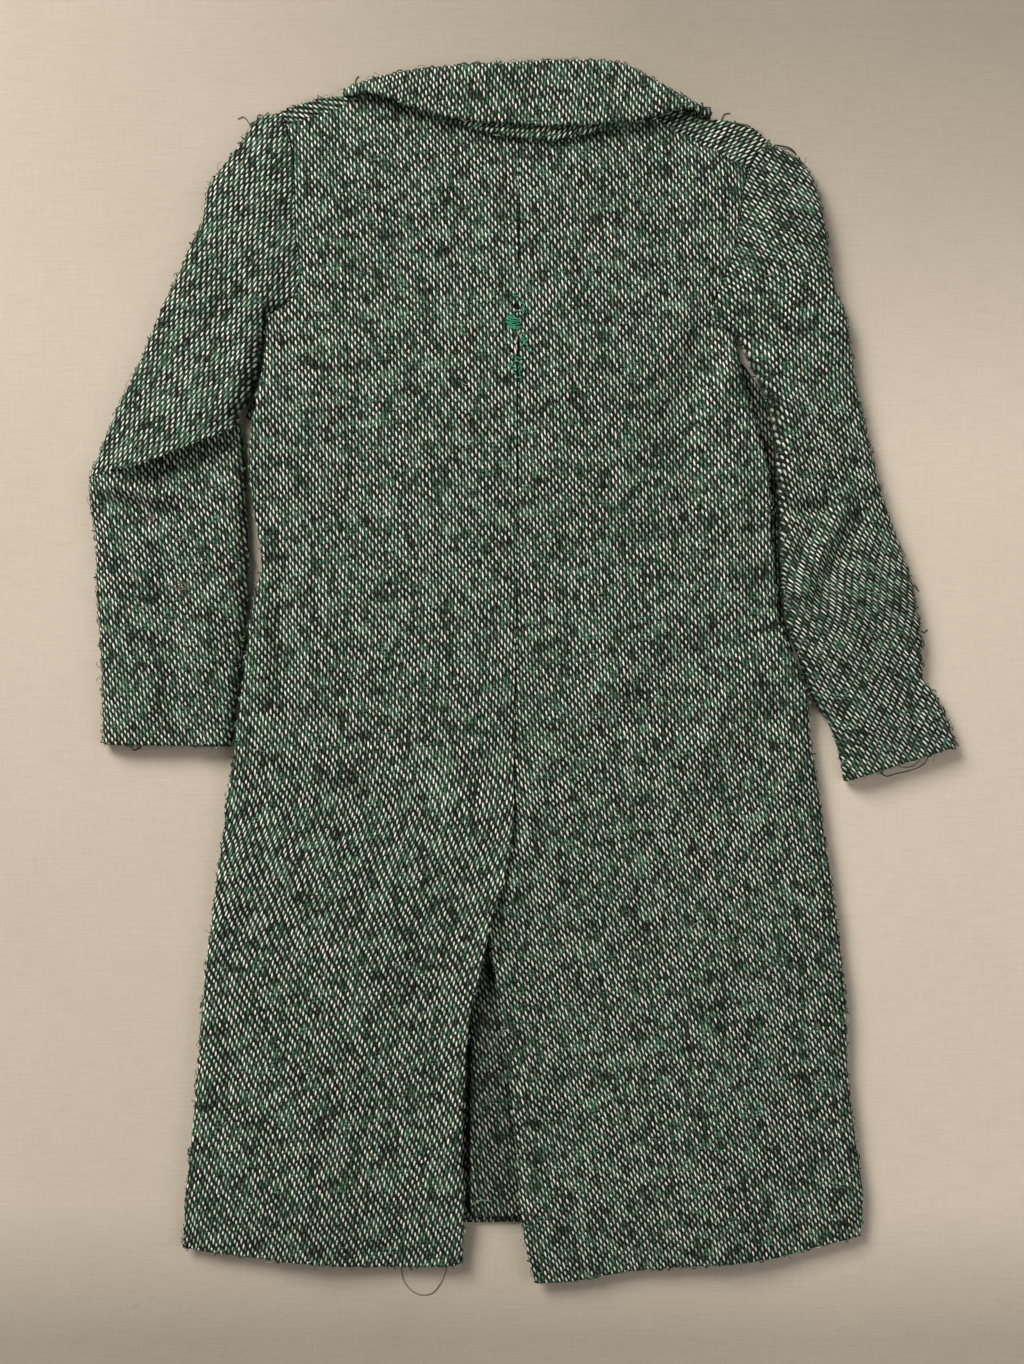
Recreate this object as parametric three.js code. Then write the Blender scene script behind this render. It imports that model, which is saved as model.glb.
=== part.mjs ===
// A doll's tweed coat laid flat, face down, with its back up. Millimetres.
// The origin is on the surface it rests on, under the middle of its outline. +X is to the
// viewer's right, +Y runs up to the collar and +Z is up, away from the surface.
// Left and right are the viewer's, looking down on the back of the coat.
// Each cut piece of cloth is a wall of its own. The fronts lie on the surface, the right one
// lapped over the left one, and the back lies on both. The sleeves are flattened tubes.

import * as THREE from 'three';

// The cloth
const CLOTH = 1.0; // thickness of one layer
const GAP = 0.3; // air between layers, and between the edges at a seam
const LAYER = CLOTH + GAP;
const SLACK = 0.25; // more air where one curved layer lies over another
const FOLDED_EDGE = CLOTH + LAYER; // height of an edge where two layers meet

// How far the cloth stands up in the middle of a piece, above its edges
const BODY_LOFT = 1.4;
const ARMHOLE_LOFT = 0.8;
const SIDE_ROLL = 7; // width of the rounded side of the body
const TOP_SLOPE = 14; // length of the slope down to the shoulders and the neck
const HEM_SLOPE = 9;
const HEM_DROP = 0.9;

// The lap of the two fronts
const LEFT_FRONT_EDGE = 8.0; // the left front ends here, under the right one
const RIGHT_FRONT_EDGE = -8.6; // the right front ends here, seen through the vent
const LAP_PAST = 2.6; // the right front stays up this far past the left one's edge
const LAP_SLOPE = 3.5;
const FRONT_NECK_Y = 72;
const NECK_MARGIN = 2; // the back stays clear of the fronts this far past their necklines
const LEFT_FRONT_HEM = -88.8;
const RIGHT_FRONT_HEM = -87.5;
const FRONT_CORNER = 1.7; // radius of the right front's lower corner

// The vent, where the left back lies over an extension of the right back
const VENT_TOP = -22.9;
const UNDERLAP_TOP = -26.6; // lower end of the slanting top of the underlap
const UNDERLAP_WIDTH = 8.3;
const UNDERLAP_MARGIN = 1.6; // the flap over it stays clear this far past its edges
const LIFT_SPREAD = 5.5; // and settles this far past them
const VENT_OPENS = -46; // the flaps part below this
const VENT_SETTLES = -60; // the left flap is back at the height of the right one
const SEAM_BOTTOM_X = -1.5;
const SEAM_TOP_X = -0.6;

const COLOURS = {
  back: 0x596355,
  front: 0x4c5649,
  sleeve: 0x54604f,
  collar: 0x5b6353,
};

// Edges of the body from hem to shoulder: x of the edge at each height
const LEFT_SIDE = [
  { y: -92.6, x: -54.2 },
  { y: -90.0, x: -54.6 },
  { y: -85.0, x: -54.3 },
  { y: -77.0, x: -53.5 },
  { y: -69.0, x: -52.7 },
  { y: -61.0, x: -52.1 },
  { y: -52.0, x: -51.4 },
  { y: -44.0, x: -50.6 },
  { y: -36.0, x: -49.6 },
  { y: -28.0, x: -48.5 },
  { y: -20.0, x: -47.5 },
  { y: -10.0, x: -46.2 },
  { y: -1.0, x: -45.0 },
  { y: 5.0, x: -44.2 },
  { y: 13.0, x: -43.0 },
  { y: 17.0, x: -42.0 },
  { y: 27.0, x: -43.3 },
  { y: 35.0, x: -44.0 },
  { y: 43.0, x: -43.2 },
  { y: 50.0, x: -42.1 },
  { y: 56.4, x: -41.2 },
];
const LEFT_ARMHOLE = [
  { y: 56.4, x: -41.2 },
  { y: 58.3, x: -39.2 },
  { y: 60.4, x: -36.6 },
  { y: 63.5, x: -35.6 },
  { y: 70.0, x: -36.4 },
  { y: 76.0, x: -36.6 },
  { y: 82.0, x: -36.8 },
  { y: 86.5, x: -37.8 },
  { y: 90.1, x: -38.8 },
];
const RIGHT_SIDE = [
  { y: -90.6, x: 54.1 },
  { y: -85.0, x: 54.5 },
  { y: -76.0, x: 53.4 },
  { y: -69.0, x: 52.4 },
  { y: -61.0, x: 51.9 },
  { y: -52.0, x: 51.6 },
  { y: -44.0, x: 50.8 },
  { y: -36.0, x: 49.8 },
  { y: -28.0, x: 48.6 },
  { y: -20.0, x: 47.4 },
  { y: -10.0, x: 46.0 },
  { y: -4.0, x: 45.4 },
  { y: 0.0, x: 44.2 },
  { y: 3.5, x: 42.8 },
  { y: 10.0, x: 41.2 },
  { y: 19.0, x: 40.7 },
  { y: 27.0, x: 40.3 },
  { y: 34.0, x: 39.6 },
  { y: 38.0, x: 38.2 },
  { y: 43.5, x: 36.6 },
  { y: 49.0, x: 35.2 },
  { y: 54.4, x: 33.4 },
];
const RIGHT_ARMHOLE = [
  { y: 54.4, x: 33.4 },
  { y: 55.5, x: 31.2 },
  { y: 57.2, x: 30.0 },
  { y: 60.0, x: 30.9 },
  { y: 66.0, x: 33.3 },
  { y: 73.0, x: 34.7 },
  { y: 78.0, x: 35.4 },
  { y: 82.0, x: 36.9 },
  { y: 85.0, x: 39.4 },
];

// Free edges of the two flaps below the centre seam
const LEFT_FLAP = [
  { y: -94.9, x: -9.8 },
  { y: -85.0, x: -9.5 },
  { y: -77.0, x: -9.8 },
  { y: -69.0, x: -9.5 },
  { y: -60.0, x: -9.0 },
  { y: -54.0, x: -8.4 },
  { y: -50.0, x: -7.4 },
  { y: -43.2, x: -5.8 },
  { y: -39.5, x: -5.0 },
  { y: -34.0, x: -3.4 },
  { y: -29.0, x: -2.2 },
];
const RIGHT_FLAP = [
  { y: -98.0, x: 1.8 },
  { y: -91.0, x: 0.2 },
  { y: -85.0, x: -0.6 },
  { y: -73.0, x: -1.4 },
  { y: -62.7, x: -2.6 },
  { y: -53.3, x: -3.6 },
  { y: -44.6, x: -5.2 },
];

// Hems and the top edges, from the left
const LEFT_HEM = [
  { x: -54.2, y: -92.6 },
  { x: -47.9, y: -93.4 },
  { x: -35.8, y: -94.7 },
  { x: -23.4, y: -95.5 },
  { x: -13.2, y: -95.5 },
  { x: -9.8, y: -94.9 },
];
const RIGHT_HEM = [
  { x: 1.8, y: -98.0 },
  { x: 5.4, y: -98.0 },
  { x: 12.4, y: -96.9 },
  { x: 19.4, y: -95.9 },
  { x: 33.5, y: -94.8 },
  { x: 40.6, y: -93.8 },
  { x: 47.0, y: -92.2 },
  { x: 54.1, y: -90.6 },
];
const BACK_TOP = [
  { x: -38.8, y: 90.1 },
  { x: -34.2, y: 91.6 },
  { x: -31.0, y: 92.3 },
  { x: -29.3, y: 92.3 },
  { x: -27.5, y: 91.4 },
  { x: -20.4, y: 91.6 },
  { x: -10.8, y: 91.1 },
  { x: -3.0, y: 91.5 },
  { x: 5.0, y: 91.8 },
  { x: 11.0, y: 91.8 },
  { x: 15.5, y: 91.2 },
  { x: 19.0, y: 90.2 },
  { x: 22.5, y: 89.5 },
  { x: 26.0, y: 88.9 },
  { x: 28.6, y: 87.7 },
  { x: 30.0, y: 87.8 },
  { x: 31.4, y: 88.6 },
  { x: 34.8, y: 87.9 },
  { x: 37.8, y: 86.7 },
  { x: 39.4, y: 85.0 },
];
const LEFT_FRONT_TOP = [
  { x: -38.8, y: 90.1 },
  { x: -34.2, y: 91.6 },
  { x: -31.0, y: 92.3 },
  { x: -29.3, y: 92.3 },
  { x: -27.5, y: 91.2 },
  { x: -23.5, y: 89.5 },
  { x: -17.0, y: 83.0 },
  { x: -9.0, y: 76.0 },
  { x: 0.0, y: 72.8 },
  { x: LEFT_FRONT_EDGE, y: FRONT_NECK_Y },
];
const RIGHT_FRONT_TOP = [
  { x: RIGHT_FRONT_EDGE, y: FRONT_NECK_Y },
  { x: 0.0, y: 72.8 },
  { x: 9.0, y: 75.5 },
  { x: 17.0, y: 82.0 },
  { x: 23.0, y: 86.2 },
  { x: 28.6, y: 87.4 },
  { x: 30.0, y: 87.6 },
  { x: 31.4, y: 88.6 },
  { x: 34.8, y: 87.9 },
  { x: 37.8, y: 86.7 },
  { x: 39.4, y: 85.0 },
];

// The largest folds: a ridge, or a trough where rise is negative, from one end to the other
const BODY_FOLDS = [
  { from: [-39.0, 11.0], to: [-38.6, -1.0], rise: -0.7, width: 2.4 },
  { from: [-38.0, -1.0], to: [-37.2, -10.0], rise: -0.6, width: 2.6 },
  { from: [-42.5, 9.0], to: [-42.5, -2.0], rise: 0.5, width: 2.4 },
  { from: [-34.5, 57.0], to: [-24.0, 30.0], rise: -0.4, width: 4.0 },
  { from: [30.0, 53.0], to: [22.0, 36.0], rise: -0.5, width: 3.6 },
  { from: [39.5, 14.0], to: [20.0, -2.0], rise: -0.5, width: 3.4 },
  { from: [40.0, 2.0], to: [26.0, -13.0], rise: 0.5, width: 3.8 },
  { from: [-30.0, -60.0], to: [-34.0, -94.0], rise: 0.5, width: 6.0 },
  { from: [28.0, -50.0], to: [34.0, -93.0], rise: 0.5, width: 7.0 },
];
const LEFT_SLEEVE_FOLDS = [
  { from: [-66.2, 31.0], to: [-57.5, 25.6], rise: 0.7, width: 1.8 },
  { from: [-64.5, 26.5], to: [-57.0, 22.6], rise: -0.5, width: 1.6 },
  { from: [-50.0, 82.0], to: [-44.0, 62.0], rise: 0.5, width: 3.4 },
  { from: [-57.0, 14.0], to: [-56.0, -8.0], rise: -0.4, width: 3.0 },
];
const RIGHT_SLEEVE_FOLDS = [
  { from: [51.4, 27.4], to: [43.4, 12.0], rise: 0.9, width: 2.2 },
  { from: [43.2, 24.4], to: [47.0, 23.0], rise: -0.9, width: 1.6 },
  { from: [47.0, 30.0], to: [44.0, 44.0], rise: 0.5, width: 3.0 },
  { from: [57.0, 8.0], to: [62.5, -2.0], rise: -0.6, width: 2.6 },
  { from: [63.4, -1.0], to: [62.6, -11.0], rise: -0.5, width: 1.8 },
];

// Sections of the left sleeve, the first one past the armhole and the last at the cuff.
// Loft is how far the middle stands above the edges. Overhang is added over the inner part of
// a section, at the elbow fold.
const LEFT_SLEEVE = [
  { outer: [-42.8, 89.1], inner: [-42.8, 55.4], loft: 1.3, overhang: 0 },
  { outer: [-45.2, 85.4], inner: [-42.6, 53.0], loft: 1.5, overhang: 0 },
  { outer: [-48.3, 81.4], inner: [-42.8, 51.3], loft: 1.6, overhang: 0 },
  { outer: [-50.8, 77.3], inner: [-43.0, 49.6], loft: 1.6, overhang: 0 },
  { outer: [-51.6, 72.5], inner: [-43.3, 47.8], loft: 1.6, overhang: 0 },
  { outer: [-53.8, 68.2], inner: [-43.7, 46.2], loft: 1.5, overhang: 0 },
  { outer: [-55.6, 63.6], inner: [-44.2, 44.8], loft: 1.5, overhang: 0 },
  { outer: [-57.9, 59.2], inner: [-44.6, 43.6], loft: 1.5, overhang: 0.1 },
  { outer: [-59.8, 54.6], inner: [-45.0, 42.8], loft: 1.5, overhang: 0.3 },
  { outer: [-61.6, 50.2], inner: [-45.3, 42.2], loft: 1.5, overhang: 0.5 },
  { outer: [-64.6, 43.8], inner: [-45.6, 41.7], loft: 1.5, overhang: 0.8 },
  { outer: [-67.6, 36.8], inner: [-45.8, 41.2], loft: 1.5, overhang: 1.0 },
  { outer: [-69.6, 31.4], inner: [-45.9, 40.8], loft: 1.5, overhang: 1.1 },
  { outer: [-69.8, 30.2], inner: [-45.8, 40.1], loft: 1.4, overhang: -1.0 },
  { outer: [-69.8, 28.2], inner: [-45.4, 37.6], loft: 1.4, overhang: -0.8 },
  { outer: [-69.4, 25.0], inner: [-45.2, 34.0], loft: 1.4, overhang: -0.5 },
  { outer: [-68.8, 21.4], inner: [-45.0, 29.0], loft: 1.4, overhang: -0.2 },
  { outer: [-68.7, 16.6], inner: [-44.7, 23.0], loft: 1.3, overhang: 0 },
  { outer: [-68.6, 11.4], inner: [-44.4, 16.0], loft: 1.3, overhang: 0 },
  { outer: [-68.1, 6.0], inner: [-44.6, 8.6], loft: 1.4, overhang: 0 },
  { outer: [-67.9, 0.4], inner: [-45.3, 1.4], loft: 1.4, overhang: 0 },
  { outer: [-67.8, -5.4], inner: [-46.3, -5.6], loft: 1.2, overhang: 0 },
  { outer: [-67.6, -11.2], inner: [-47.0, -12.0], loft: 1.0, overhang: 0 },
];
const RIGHT_SLEEVE = [
  { outer: [42.6, 83.6], inner: [35.2, 53.8], loft: 1.3, overhang: 0 },
  { outer: [44.9, 82.0], inner: [35.8, 51.8], loft: 1.5, overhang: 0 },
  { outer: [46.8, 78.7], inner: [36.0, 50.2], loft: 1.6, overhang: 0 },
  { outer: [47.9, 74.8], inner: [36.6, 48.6], loft: 1.6, overhang: 0 },
  { outer: [48.7, 70.5], inner: [37.2, 46.8], loft: 1.6, overhang: 0 },
  { outer: [49.2, 66.0], inner: [38.2, 45.0], loft: 1.6, overhang: 0 },
  { outer: [50.2, 61.5], inner: [39.2, 43.0], loft: 1.6, overhang: 0 },
  { outer: [51.9, 57.0], inner: [39.8, 40.4], loft: 1.6, overhang: 0 },
  { outer: [52.7, 52.0], inner: [40.2, 37.4], loft: 1.5, overhang: 0 },
  { outer: [53.4, 46.8], inner: [40.5, 34.0], loft: 1.5, overhang: 0 },
  { outer: [54.6, 41.4], inner: [40.7, 30.0], loft: 1.5, overhang: 0 },
  { outer: [55.8, 36.0], inner: [40.9, 26.0], loft: 1.5, overhang: 0 },
  { outer: [57.1, 30.8], inner: [41.1, 22.0], loft: 1.5, overhang: 0 },
  { outer: [58.6, 25.8], inner: [41.3, 18.0], loft: 1.5, overhang: 0 },
  { outer: [60.5, 20.6], inner: [41.5, 14.0], loft: 1.5, overhang: 0 },
  { outer: [62.2, 15.4], inner: [41.7, 10.0], loft: 1.5, overhang: 0 },
  { outer: [63.4, 10.0], inner: [42.5, 6.2], loft: 1.5, overhang: 0 },
  { outer: [64.1, 4.8], inner: [44.0, 2.6], loft: 1.4, overhang: 0 },
  { outer: [64.2, -0.6], inner: [45.4, -1.2], loft: 1.3, overhang: 0 },
  { outer: [65.6, -2.6], inner: [46.9, -5.0], loft: 1.2, overhang: 0 },
  { outer: [67.2, -5.4], inner: [49.3, -8.6], loft: 1.2, overhang: 0 },
  { outer: [68.6, -8.6], inner: [50.6, -12.6], loft: 1.1, overhang: 0 },
  { outer: [69.8, -11.8], inner: [51.6, -17.6], loft: 1.0, overhang: 0 },
];
const CAP_SECTIONS = 5; // sections over which the armhole's curve fades out of the sleeve
const OVERHANG_FROM = 0.12; // share of the section's width where the overhang begins
const OVERHANG_FULL = 0.36;
const LEAST_LOFT = 0.1;
const ROUND_INSET = 0.35; // the sleeve's rounded edge turns level this far in from its outline
const ROUND_HEIGHT = 0.85 * FOLDED_EDGE; // and this far up

// Sections of the collar, left to right: the line it rolls over and the edge it falls to.
// Peek is how far the under collar shows past that edge.
const COLLAR = [
  { roll: [-28.6, 93.4], fall: [-26.6, 90.9], peek: -0.4 },
  { roll: [-25.2, 94.7], fall: [-23.2, 90.9], peek: -0.4 },
  { roll: [-21.7, 95.6], fall: [-19.8, 90.3], peek: -0.4 },
  { roll: [-17.0, 96.6], fall: [-15.6, 89.1], peek: -0.2 },
  { roll: [-11.0, 97.1], fall: [-10.6, 87.9], peek: 0.5 },
  { roll: [-3.0, 97.6], fall: [-3.2, 87.1], peek: 1.5 },
  { roll: [5.0, 98.0], fall: [4.6, 86.7], peek: 2.0 },
  { roll: [11.1, 98.0], fall: [10.6, 86.8], peek: 1.0 },
  { roll: [15.9, 97.4], fall: [15.2, 87.2], peek: 0 },
  { roll: [19.2, 95.8], fall: [18.4, 87.6], peek: -0.3 },
  { roll: [23.0, 93.4], fall: [21.9, 88.0], peek: -0.4 },
  { roll: [26.8, 91.5], fall: [25.6, 88.2], peek: -0.4 },
  { roll: [30.0, 89.9], fall: [28.8, 87.2], peek: -0.4 },
];
const COLLAR_ROLL_TOP = 5.0; // height of the collar's upper face where it turns over
const STAND_DEPTH = 5.6; // from the roll line to the neck seam
const FACING_DEPTH = 2.6; // how far the upper collar turns under, on the surface
const NARROW_BEND = 0.45; // most of the collar's depth that its roll takes, at its narrow ends
const TURN_SHARE = 0.58; // most of the collar's depth that it turns under, at its narrow ends
const UNDER_FROM = 2; // sections at each end that the under collar doesn't reach
const ROLL_STEPS = 6;
const FALL_STEPS = 5;

// Extra columns of the panels, as shares of the width from the side to the middle
const SIDE_COLUMNS = [0.03, 0.07];
const LEFT_BACK_COLUMNS = [0.39, 0.6, 0.79, 0.83, 0.86, 0.89, 0.92, 0.97];
const LAP_COLUMNS = [0.53, 0.56, 0.59, 0.62, 0.65, 0.68, 0.71, 0.74];
const CROWN_POWER = 3; // how flat the middle of an arched piece is
const MOST_STRETCH = 1.3; // a sloping wall is at most this much deeper than a level one
const SLOPE_STEP = 0.5; // distance over which a slope is taken
const HEM_CLEAR = 1; // points of a side edge nearer than this to a hem are left out
const BOW_FADE = 6; // how soon the rows of a panel straighten away from its hem and top

const lerp = THREE.MathUtils.lerp;
const smooth = (t) => THREE.MathUtils.smoothstep(t, 0, 1);

// Value at a place in a table, on straight lines between its rows
function readTable(table, from, key, value) {
  const rows = table[0][from] <= table[table.length - 1][from] ? table : [...table].reverse();
  let i = 1;
  while (i < rows.length - 1 && rows[i][from] < key) i += 1;
  const a = rows[i - 1];
  const b = rows[i];
  const share = THREE.MathUtils.clamp((key - a[from]) / (b[from] - a[from]), 0, 1);
  return lerp(a[value], b[value], share);
}

const xAt = (edge, y) => readTable(edge, 'y', y, 'x');
const yAt = (edge, x) => readTable(edge, 'x', x, 'y');

const LEFT_EDGE = [...LEFT_SIDE, ...LEFT_ARMHOLE.slice(1)];
const RIGHT_EDGE = [...RIGHT_SIDE, ...RIGHT_ARMHOLE.slice(1)];
const HALF_GAP = GAP / 2;
const NECK_Y = yAt(BACK_TOP, SEAM_TOP_X);
const LEFT_MIDDLE = [
  ...LEFT_FLAP,
  { y: VENT_TOP, x: SEAM_BOTTOM_X - HALF_GAP },
  { y: NECK_Y, x: SEAM_TOP_X - HALF_GAP },
];
const RIGHT_MIDDLE = [
  ...RIGHT_FLAP,
  { y: UNDERLAP_TOP, x: SEAM_BOTTOM_X - UNDERLAP_WIDTH },
  { y: VENT_TOP, x: SEAM_BOTTOM_X + HALF_GAP },
  { y: NECK_Y, x: SEAM_TOP_X + HALF_GAP },
];

// Rise of the folds at a point: each fades across its width and at its ends
function foldsAt(folds, x, y) {
  let rise = 0;
  for (const fold of folds) {
    const [x0, y0] = fold.from;
    const [x1, y1] = fold.to;
    const length = Math.hypot(x1 - x0, y1 - y0);
    const along = ((x - x0) * (x1 - x0) + (y - y0) * (y1 - y0)) / length;
    const across = ((x - x0) * (y1 - y0) - (y - y0) * (x1 - x0)) / length;
    const past = Math.max(0, -along, along - length);
    rise += fold.rise * Math.exp(-((across / fold.width) ** 2) - (past / fold.width) ** 2);
  }
  return rise;
}

// Upper face of the fronts: flat on the surface, and one layer up where the right one laps
const leftFrontTop = () => CLOTH;

function rightFrontTop(x) {
  return CLOTH + LAYER * (1 - smooth((x - LEFT_FRONT_EDGE - LAP_PAST) / LAP_SLOPE));
}

// Lowest that the back may lie at a point, over the fronts
function clearOfFronts(x, y) {
  const pastLap = x < RIGHT_FRONT_EDGE - GAP || y < RIGHT_FRONT_HEM - GAP;
  if (pastLap || y > yAt(RIGHT_FRONT_TOP, x) + NECK_MARGIN) return leftFrontTop() + GAP;
  return rightFrontTop(x) + GAP;
}

// Profile of a rounded edge: 0 at the edge and 1 where it has turned level
function rounded(distance, width) {
  const t = THREE.MathUtils.clamp(1 - distance / width, 0, 1);
  return Math.sqrt(1 - t * t);
}

// Upper face of the back, before the vent lifts it
function backTop(x, y) {
  const left = x < 0;
  const edge = left ? LEFT_EDGE : RIGHT_EDGE;
  const hole = left ? LEFT_ARMHOLE : RIGHT_ARMHOLE;
  const hem = left ? LEFT_HEM : RIGHT_HEM;
  const inside = Math.abs(xAt(edge, y) - x);
  const low = hole[0].y;
  const high = hole[hole.length - 1].y;
  const holeShare = THREE.MathUtils.clamp((y - low) / (high - low), 0, 1);
  const seamLoft = ARMHOLE_LOFT * crown(holeShare);
  const side = seamLoft + (BODY_LOFT - seamLoft) * rounded(inside, SIDE_ROLL);
  const top = smooth((yAt(BACK_TOP, x) - y) / TOP_SLOPE);
  const drop = HEM_DROP * (1 - smooth((y - yAt(hem, x)) / HEM_SLOPE));
  return FOLDED_EDGE + side * top - drop + foldsAt(BODY_FOLDS, x, y);
}

// Lift of the left back where the underlap lies beneath it
function ventLift(x, y) {
  const above = 1 - smooth((y - VENT_TOP - GAP) / LIFT_SPREAD);
  const below = smooth((y - VENT_SETTLES) / (VENT_OPENS - VENT_SETTLES));
  const underlapEdge = xAt(RIGHT_MIDDLE, Math.min(y, UNDERLAP_TOP));
  const across = smooth((x - underlapEdge + LIFT_SPREAD) / (LIFT_SPREAD - UNDERLAP_MARGIN));
  return (LAYER + SLACK) * above * below * across;
}

// Lowest that the left back may lie at a point: clear of the fronts and of the underlap
function clearOfUnderlap(x, y) {
  const overlapped = y < VENT_TOP + UNDERLAP_MARGIN && y > VENT_OPENS - UNDERLAP_MARGIN;
  const underlapEdge = xAt(RIGHT_MIDDLE, Math.min(y, UNDERLAP_TOP));
  if (!overlapped || x < underlapEdge - UNDERLAP_MARGIN) return clearOfFronts(x, y);
  return Math.max(clearOfFronts(x, y), backTop(x, y) + GAP + SLACK);
}

// Profile of an arched piece: 0 at both ends and 1 in the middle
function crown(share) {
  return Math.sqrt(Math.max(0, 1 - Math.abs(2 * share - 1) ** CROWN_POWER));
}

// A closed solid between an upper and a lower grid of points of the same size
function slab(upper, lower) {
  const rows = upper.length;
  const columns = upper[0].length;
  const positions = [];
  const faces = [];
  for (const point of [...upper.flat(), ...lower.flat()]) positions.push(...point);
  const up = (i, j) => i * columns + j;
  const down = (i, j) => rows * columns + i * columns + j;
  for (let i = 0; i < rows - 1; i += 1) {
    for (let j = 0; j < columns - 1; j += 1) {
      faces.push(up(i, j), up(i, j + 1), up(i + 1, j + 1), up(i, j), up(i + 1, j + 1), up(i + 1, j));
      faces.push(down(i, j), down(i + 1, j + 1), down(i, j + 1));
      faces.push(down(i, j), down(i + 1, j), down(i + 1, j + 1));
    }
  }
  const rim = [];
  for (let j = 0; j < columns - 1; j += 1) rim.push([0, j]);
  for (let i = 0; i < rows - 1; i += 1) rim.push([i, columns - 1]);
  for (let j = columns - 1; j > 0; j -= 1) rim.push([rows - 1, j]);
  for (let i = rows - 1; i > 0; i -= 1) rim.push([i, 0]);
  rim.forEach(([i, j], n) => {
    const [k, l] = rim[(n + 1) % rim.length];
    faces.push(up(i, j), down(i, j), down(k, l), up(i, j), down(k, l), up(k, l));
  });
  return solid(positions, faces);
}

// A closed solid swept through sections, each a closed loop of the same number of points
function loft(loops) {
  const size = loops[0].length;
  const positions = loops.flat(2);
  const faces = [];
  for (let i = 0; i < loops.length - 1; i += 1) {
    for (let j = 0; j < size; j += 1) {
      const a = i * size + j;
      const b = i * size + ((j + 1) % size);
      faces.push(a, b, b + size, a, b + size, a + size);
    }
  }
  return { positions, faces, size };
}

// Geometry with its faces turned to point outward
function solid(positions, faces) {
  const geometry = new THREE.BufferGeometry();
  const corner = (n) => new THREE.Vector3().fromArray(positions, 3 * faces[n]);
  let volume = 0;
  for (let n = 0; n < faces.length; n += 3) {
    volume += corner(n).dot(corner(n + 1).cross(corner(n + 2)));
  }
  const index = volume > 0 ? faces : [...faces].reverse();
  geometry.setAttribute('position', new THREE.Float32BufferAttribute(positions, 3));
  geometry.setIndex(index);
  geometry.computeVertexNormals();
  return geometry;
}

// Plan of a panel as a grid, from hem to top and from its side edge to its middle edge. It has
// a row at each point of the side edge and at the given heights of the middle edge, and a
// column at each point of its top and at the given shares of its width.
function panelPlan({ side, middle, hem, top, columnsAt = [], rowsAtMiddle = [] }) {
  const lower = { side: side[0], middle: middle[0] };
  const upper = { side: side[side.length - 1], middle: middle[middle.length - 1] };
  const shareOf = (a, b, value) => (value - a) / (b - a);
  const inOrder = (shares) => {
    const rounded = shares.filter((s) => s >= 0 && s <= 1).map((s) => Number(s.toFixed(5)));
    return [...new Set(rounded)].sort((a, b) => a - b);
  };
  const levels = inOrder([
    ...side.map((row) => shareOf(lower.side.y, upper.side.y, row.y)),
    ...rowsAtMiddle.map((y) => shareOf(lower.middle.y, upper.middle.y, y)),
  ]);
  const columns = inOrder([
    0,
    1,
    ...columnsAt,
    ...top.map((point) => shareOf(upper.side.x, upper.middle.x, point.x)),
  ]);
  const bow = (edge, ends, u) => {
    const x = lerp(ends.side.x, ends.middle.x, u);
    return yAt(edge, x) - lerp(ends.side.y, ends.middle.y, u);
  };
  return levels.map((v) => {
    const sideY = lerp(lower.side.y, upper.side.y, v);
    const middleY = lerp(lower.middle.y, upper.middle.y, v);
    return columns.map((u) => {
      const x = lerp(xAt(side, sideY), xAt(middle, middleY), u);
      const bent = (1 - v) ** BOW_FADE * bow(hem, lower, u) + v ** BOW_FADE * bow(top, upper, u);
      return [x, lerp(sideY, middleY, u) + bent];
    });
  });
}

// A panel of cloth on its plan, with its upper face at a height worked out for each point
function panel(plan, heightAt, clearAt) {
  const step = SLOPE_STEP;
  const upper = [];
  const lower = [];
  for (const row of plan) {
    const rowUp = [];
    const rowDown = [];
    for (const [x, y] of row) {
      const slopeX = (heightAt(x + step, y) - heightAt(x - step, y)) / (2 * step);
      const slopeY = (heightAt(x, y + step) - heightAt(x, y - step)) / (2 * step);
      const thick = CLOTH * Math.min(MOST_STRETCH, Math.hypot(1, slopeX, slopeY));
      const bottom = Math.max(heightAt(x, y) - thick, clearAt(x, y));
      rowDown.push([x, y, bottom]);
      rowUp.push([x, y, Math.max(heightAt(x, y), bottom + CLOTH)]);
    }
    upper.push(rowUp);
    lower.push(rowDown);
  }
  return slab(upper, lower);
}

// Shares of a polyline's length at its points
function sharesOf(points) {
  const runs = [0];
  for (let i = 1; i < points.length; i += 1) {
    const run = Math.hypot(points[i][0] - points[i - 1][0], points[i][1] - points[i - 1][1]);
    runs.push(runs[i - 1] + run);
  }
  return runs.map((run) => run / runs[runs.length - 1]);
}

// Point along a polyline at a share of its length
function onPolyline(points, share) {
  const shares = sharesOf(points);
  let i = 1;
  while (i < points.length - 1 && shares[i] < share) i += 1;
  const t = (share - shares[i - 1]) / (shares[i] - shares[i - 1]);
  return [lerp(points[i - 1][0], points[i][0], t), lerp(points[i - 1][1], points[i][1], t)];
}

// A polyline moved sideways, to the right of its run where the distance is positive
function beside(points, distance) {
  const normals = points.slice(1).map((point, i) => {
    const across = [point[1] - points[i][1], points[i][0] - point[0]];
    const size = Math.hypot(...across);
    return across.map((c) => c / size);
  });
  return points.map((point, i) => {
    const a = normals[Math.max(0, i - 1)];
    const b = normals[Math.min(normals.length - 1, i)];
    const scale = distance / (1 + a[0] * b[0] + a[1] * b[1]);
    return [point[0] + (a[0] + b[0]) * scale, point[1] + (a[1] + b[1]) * scale];
  });
}

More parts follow.
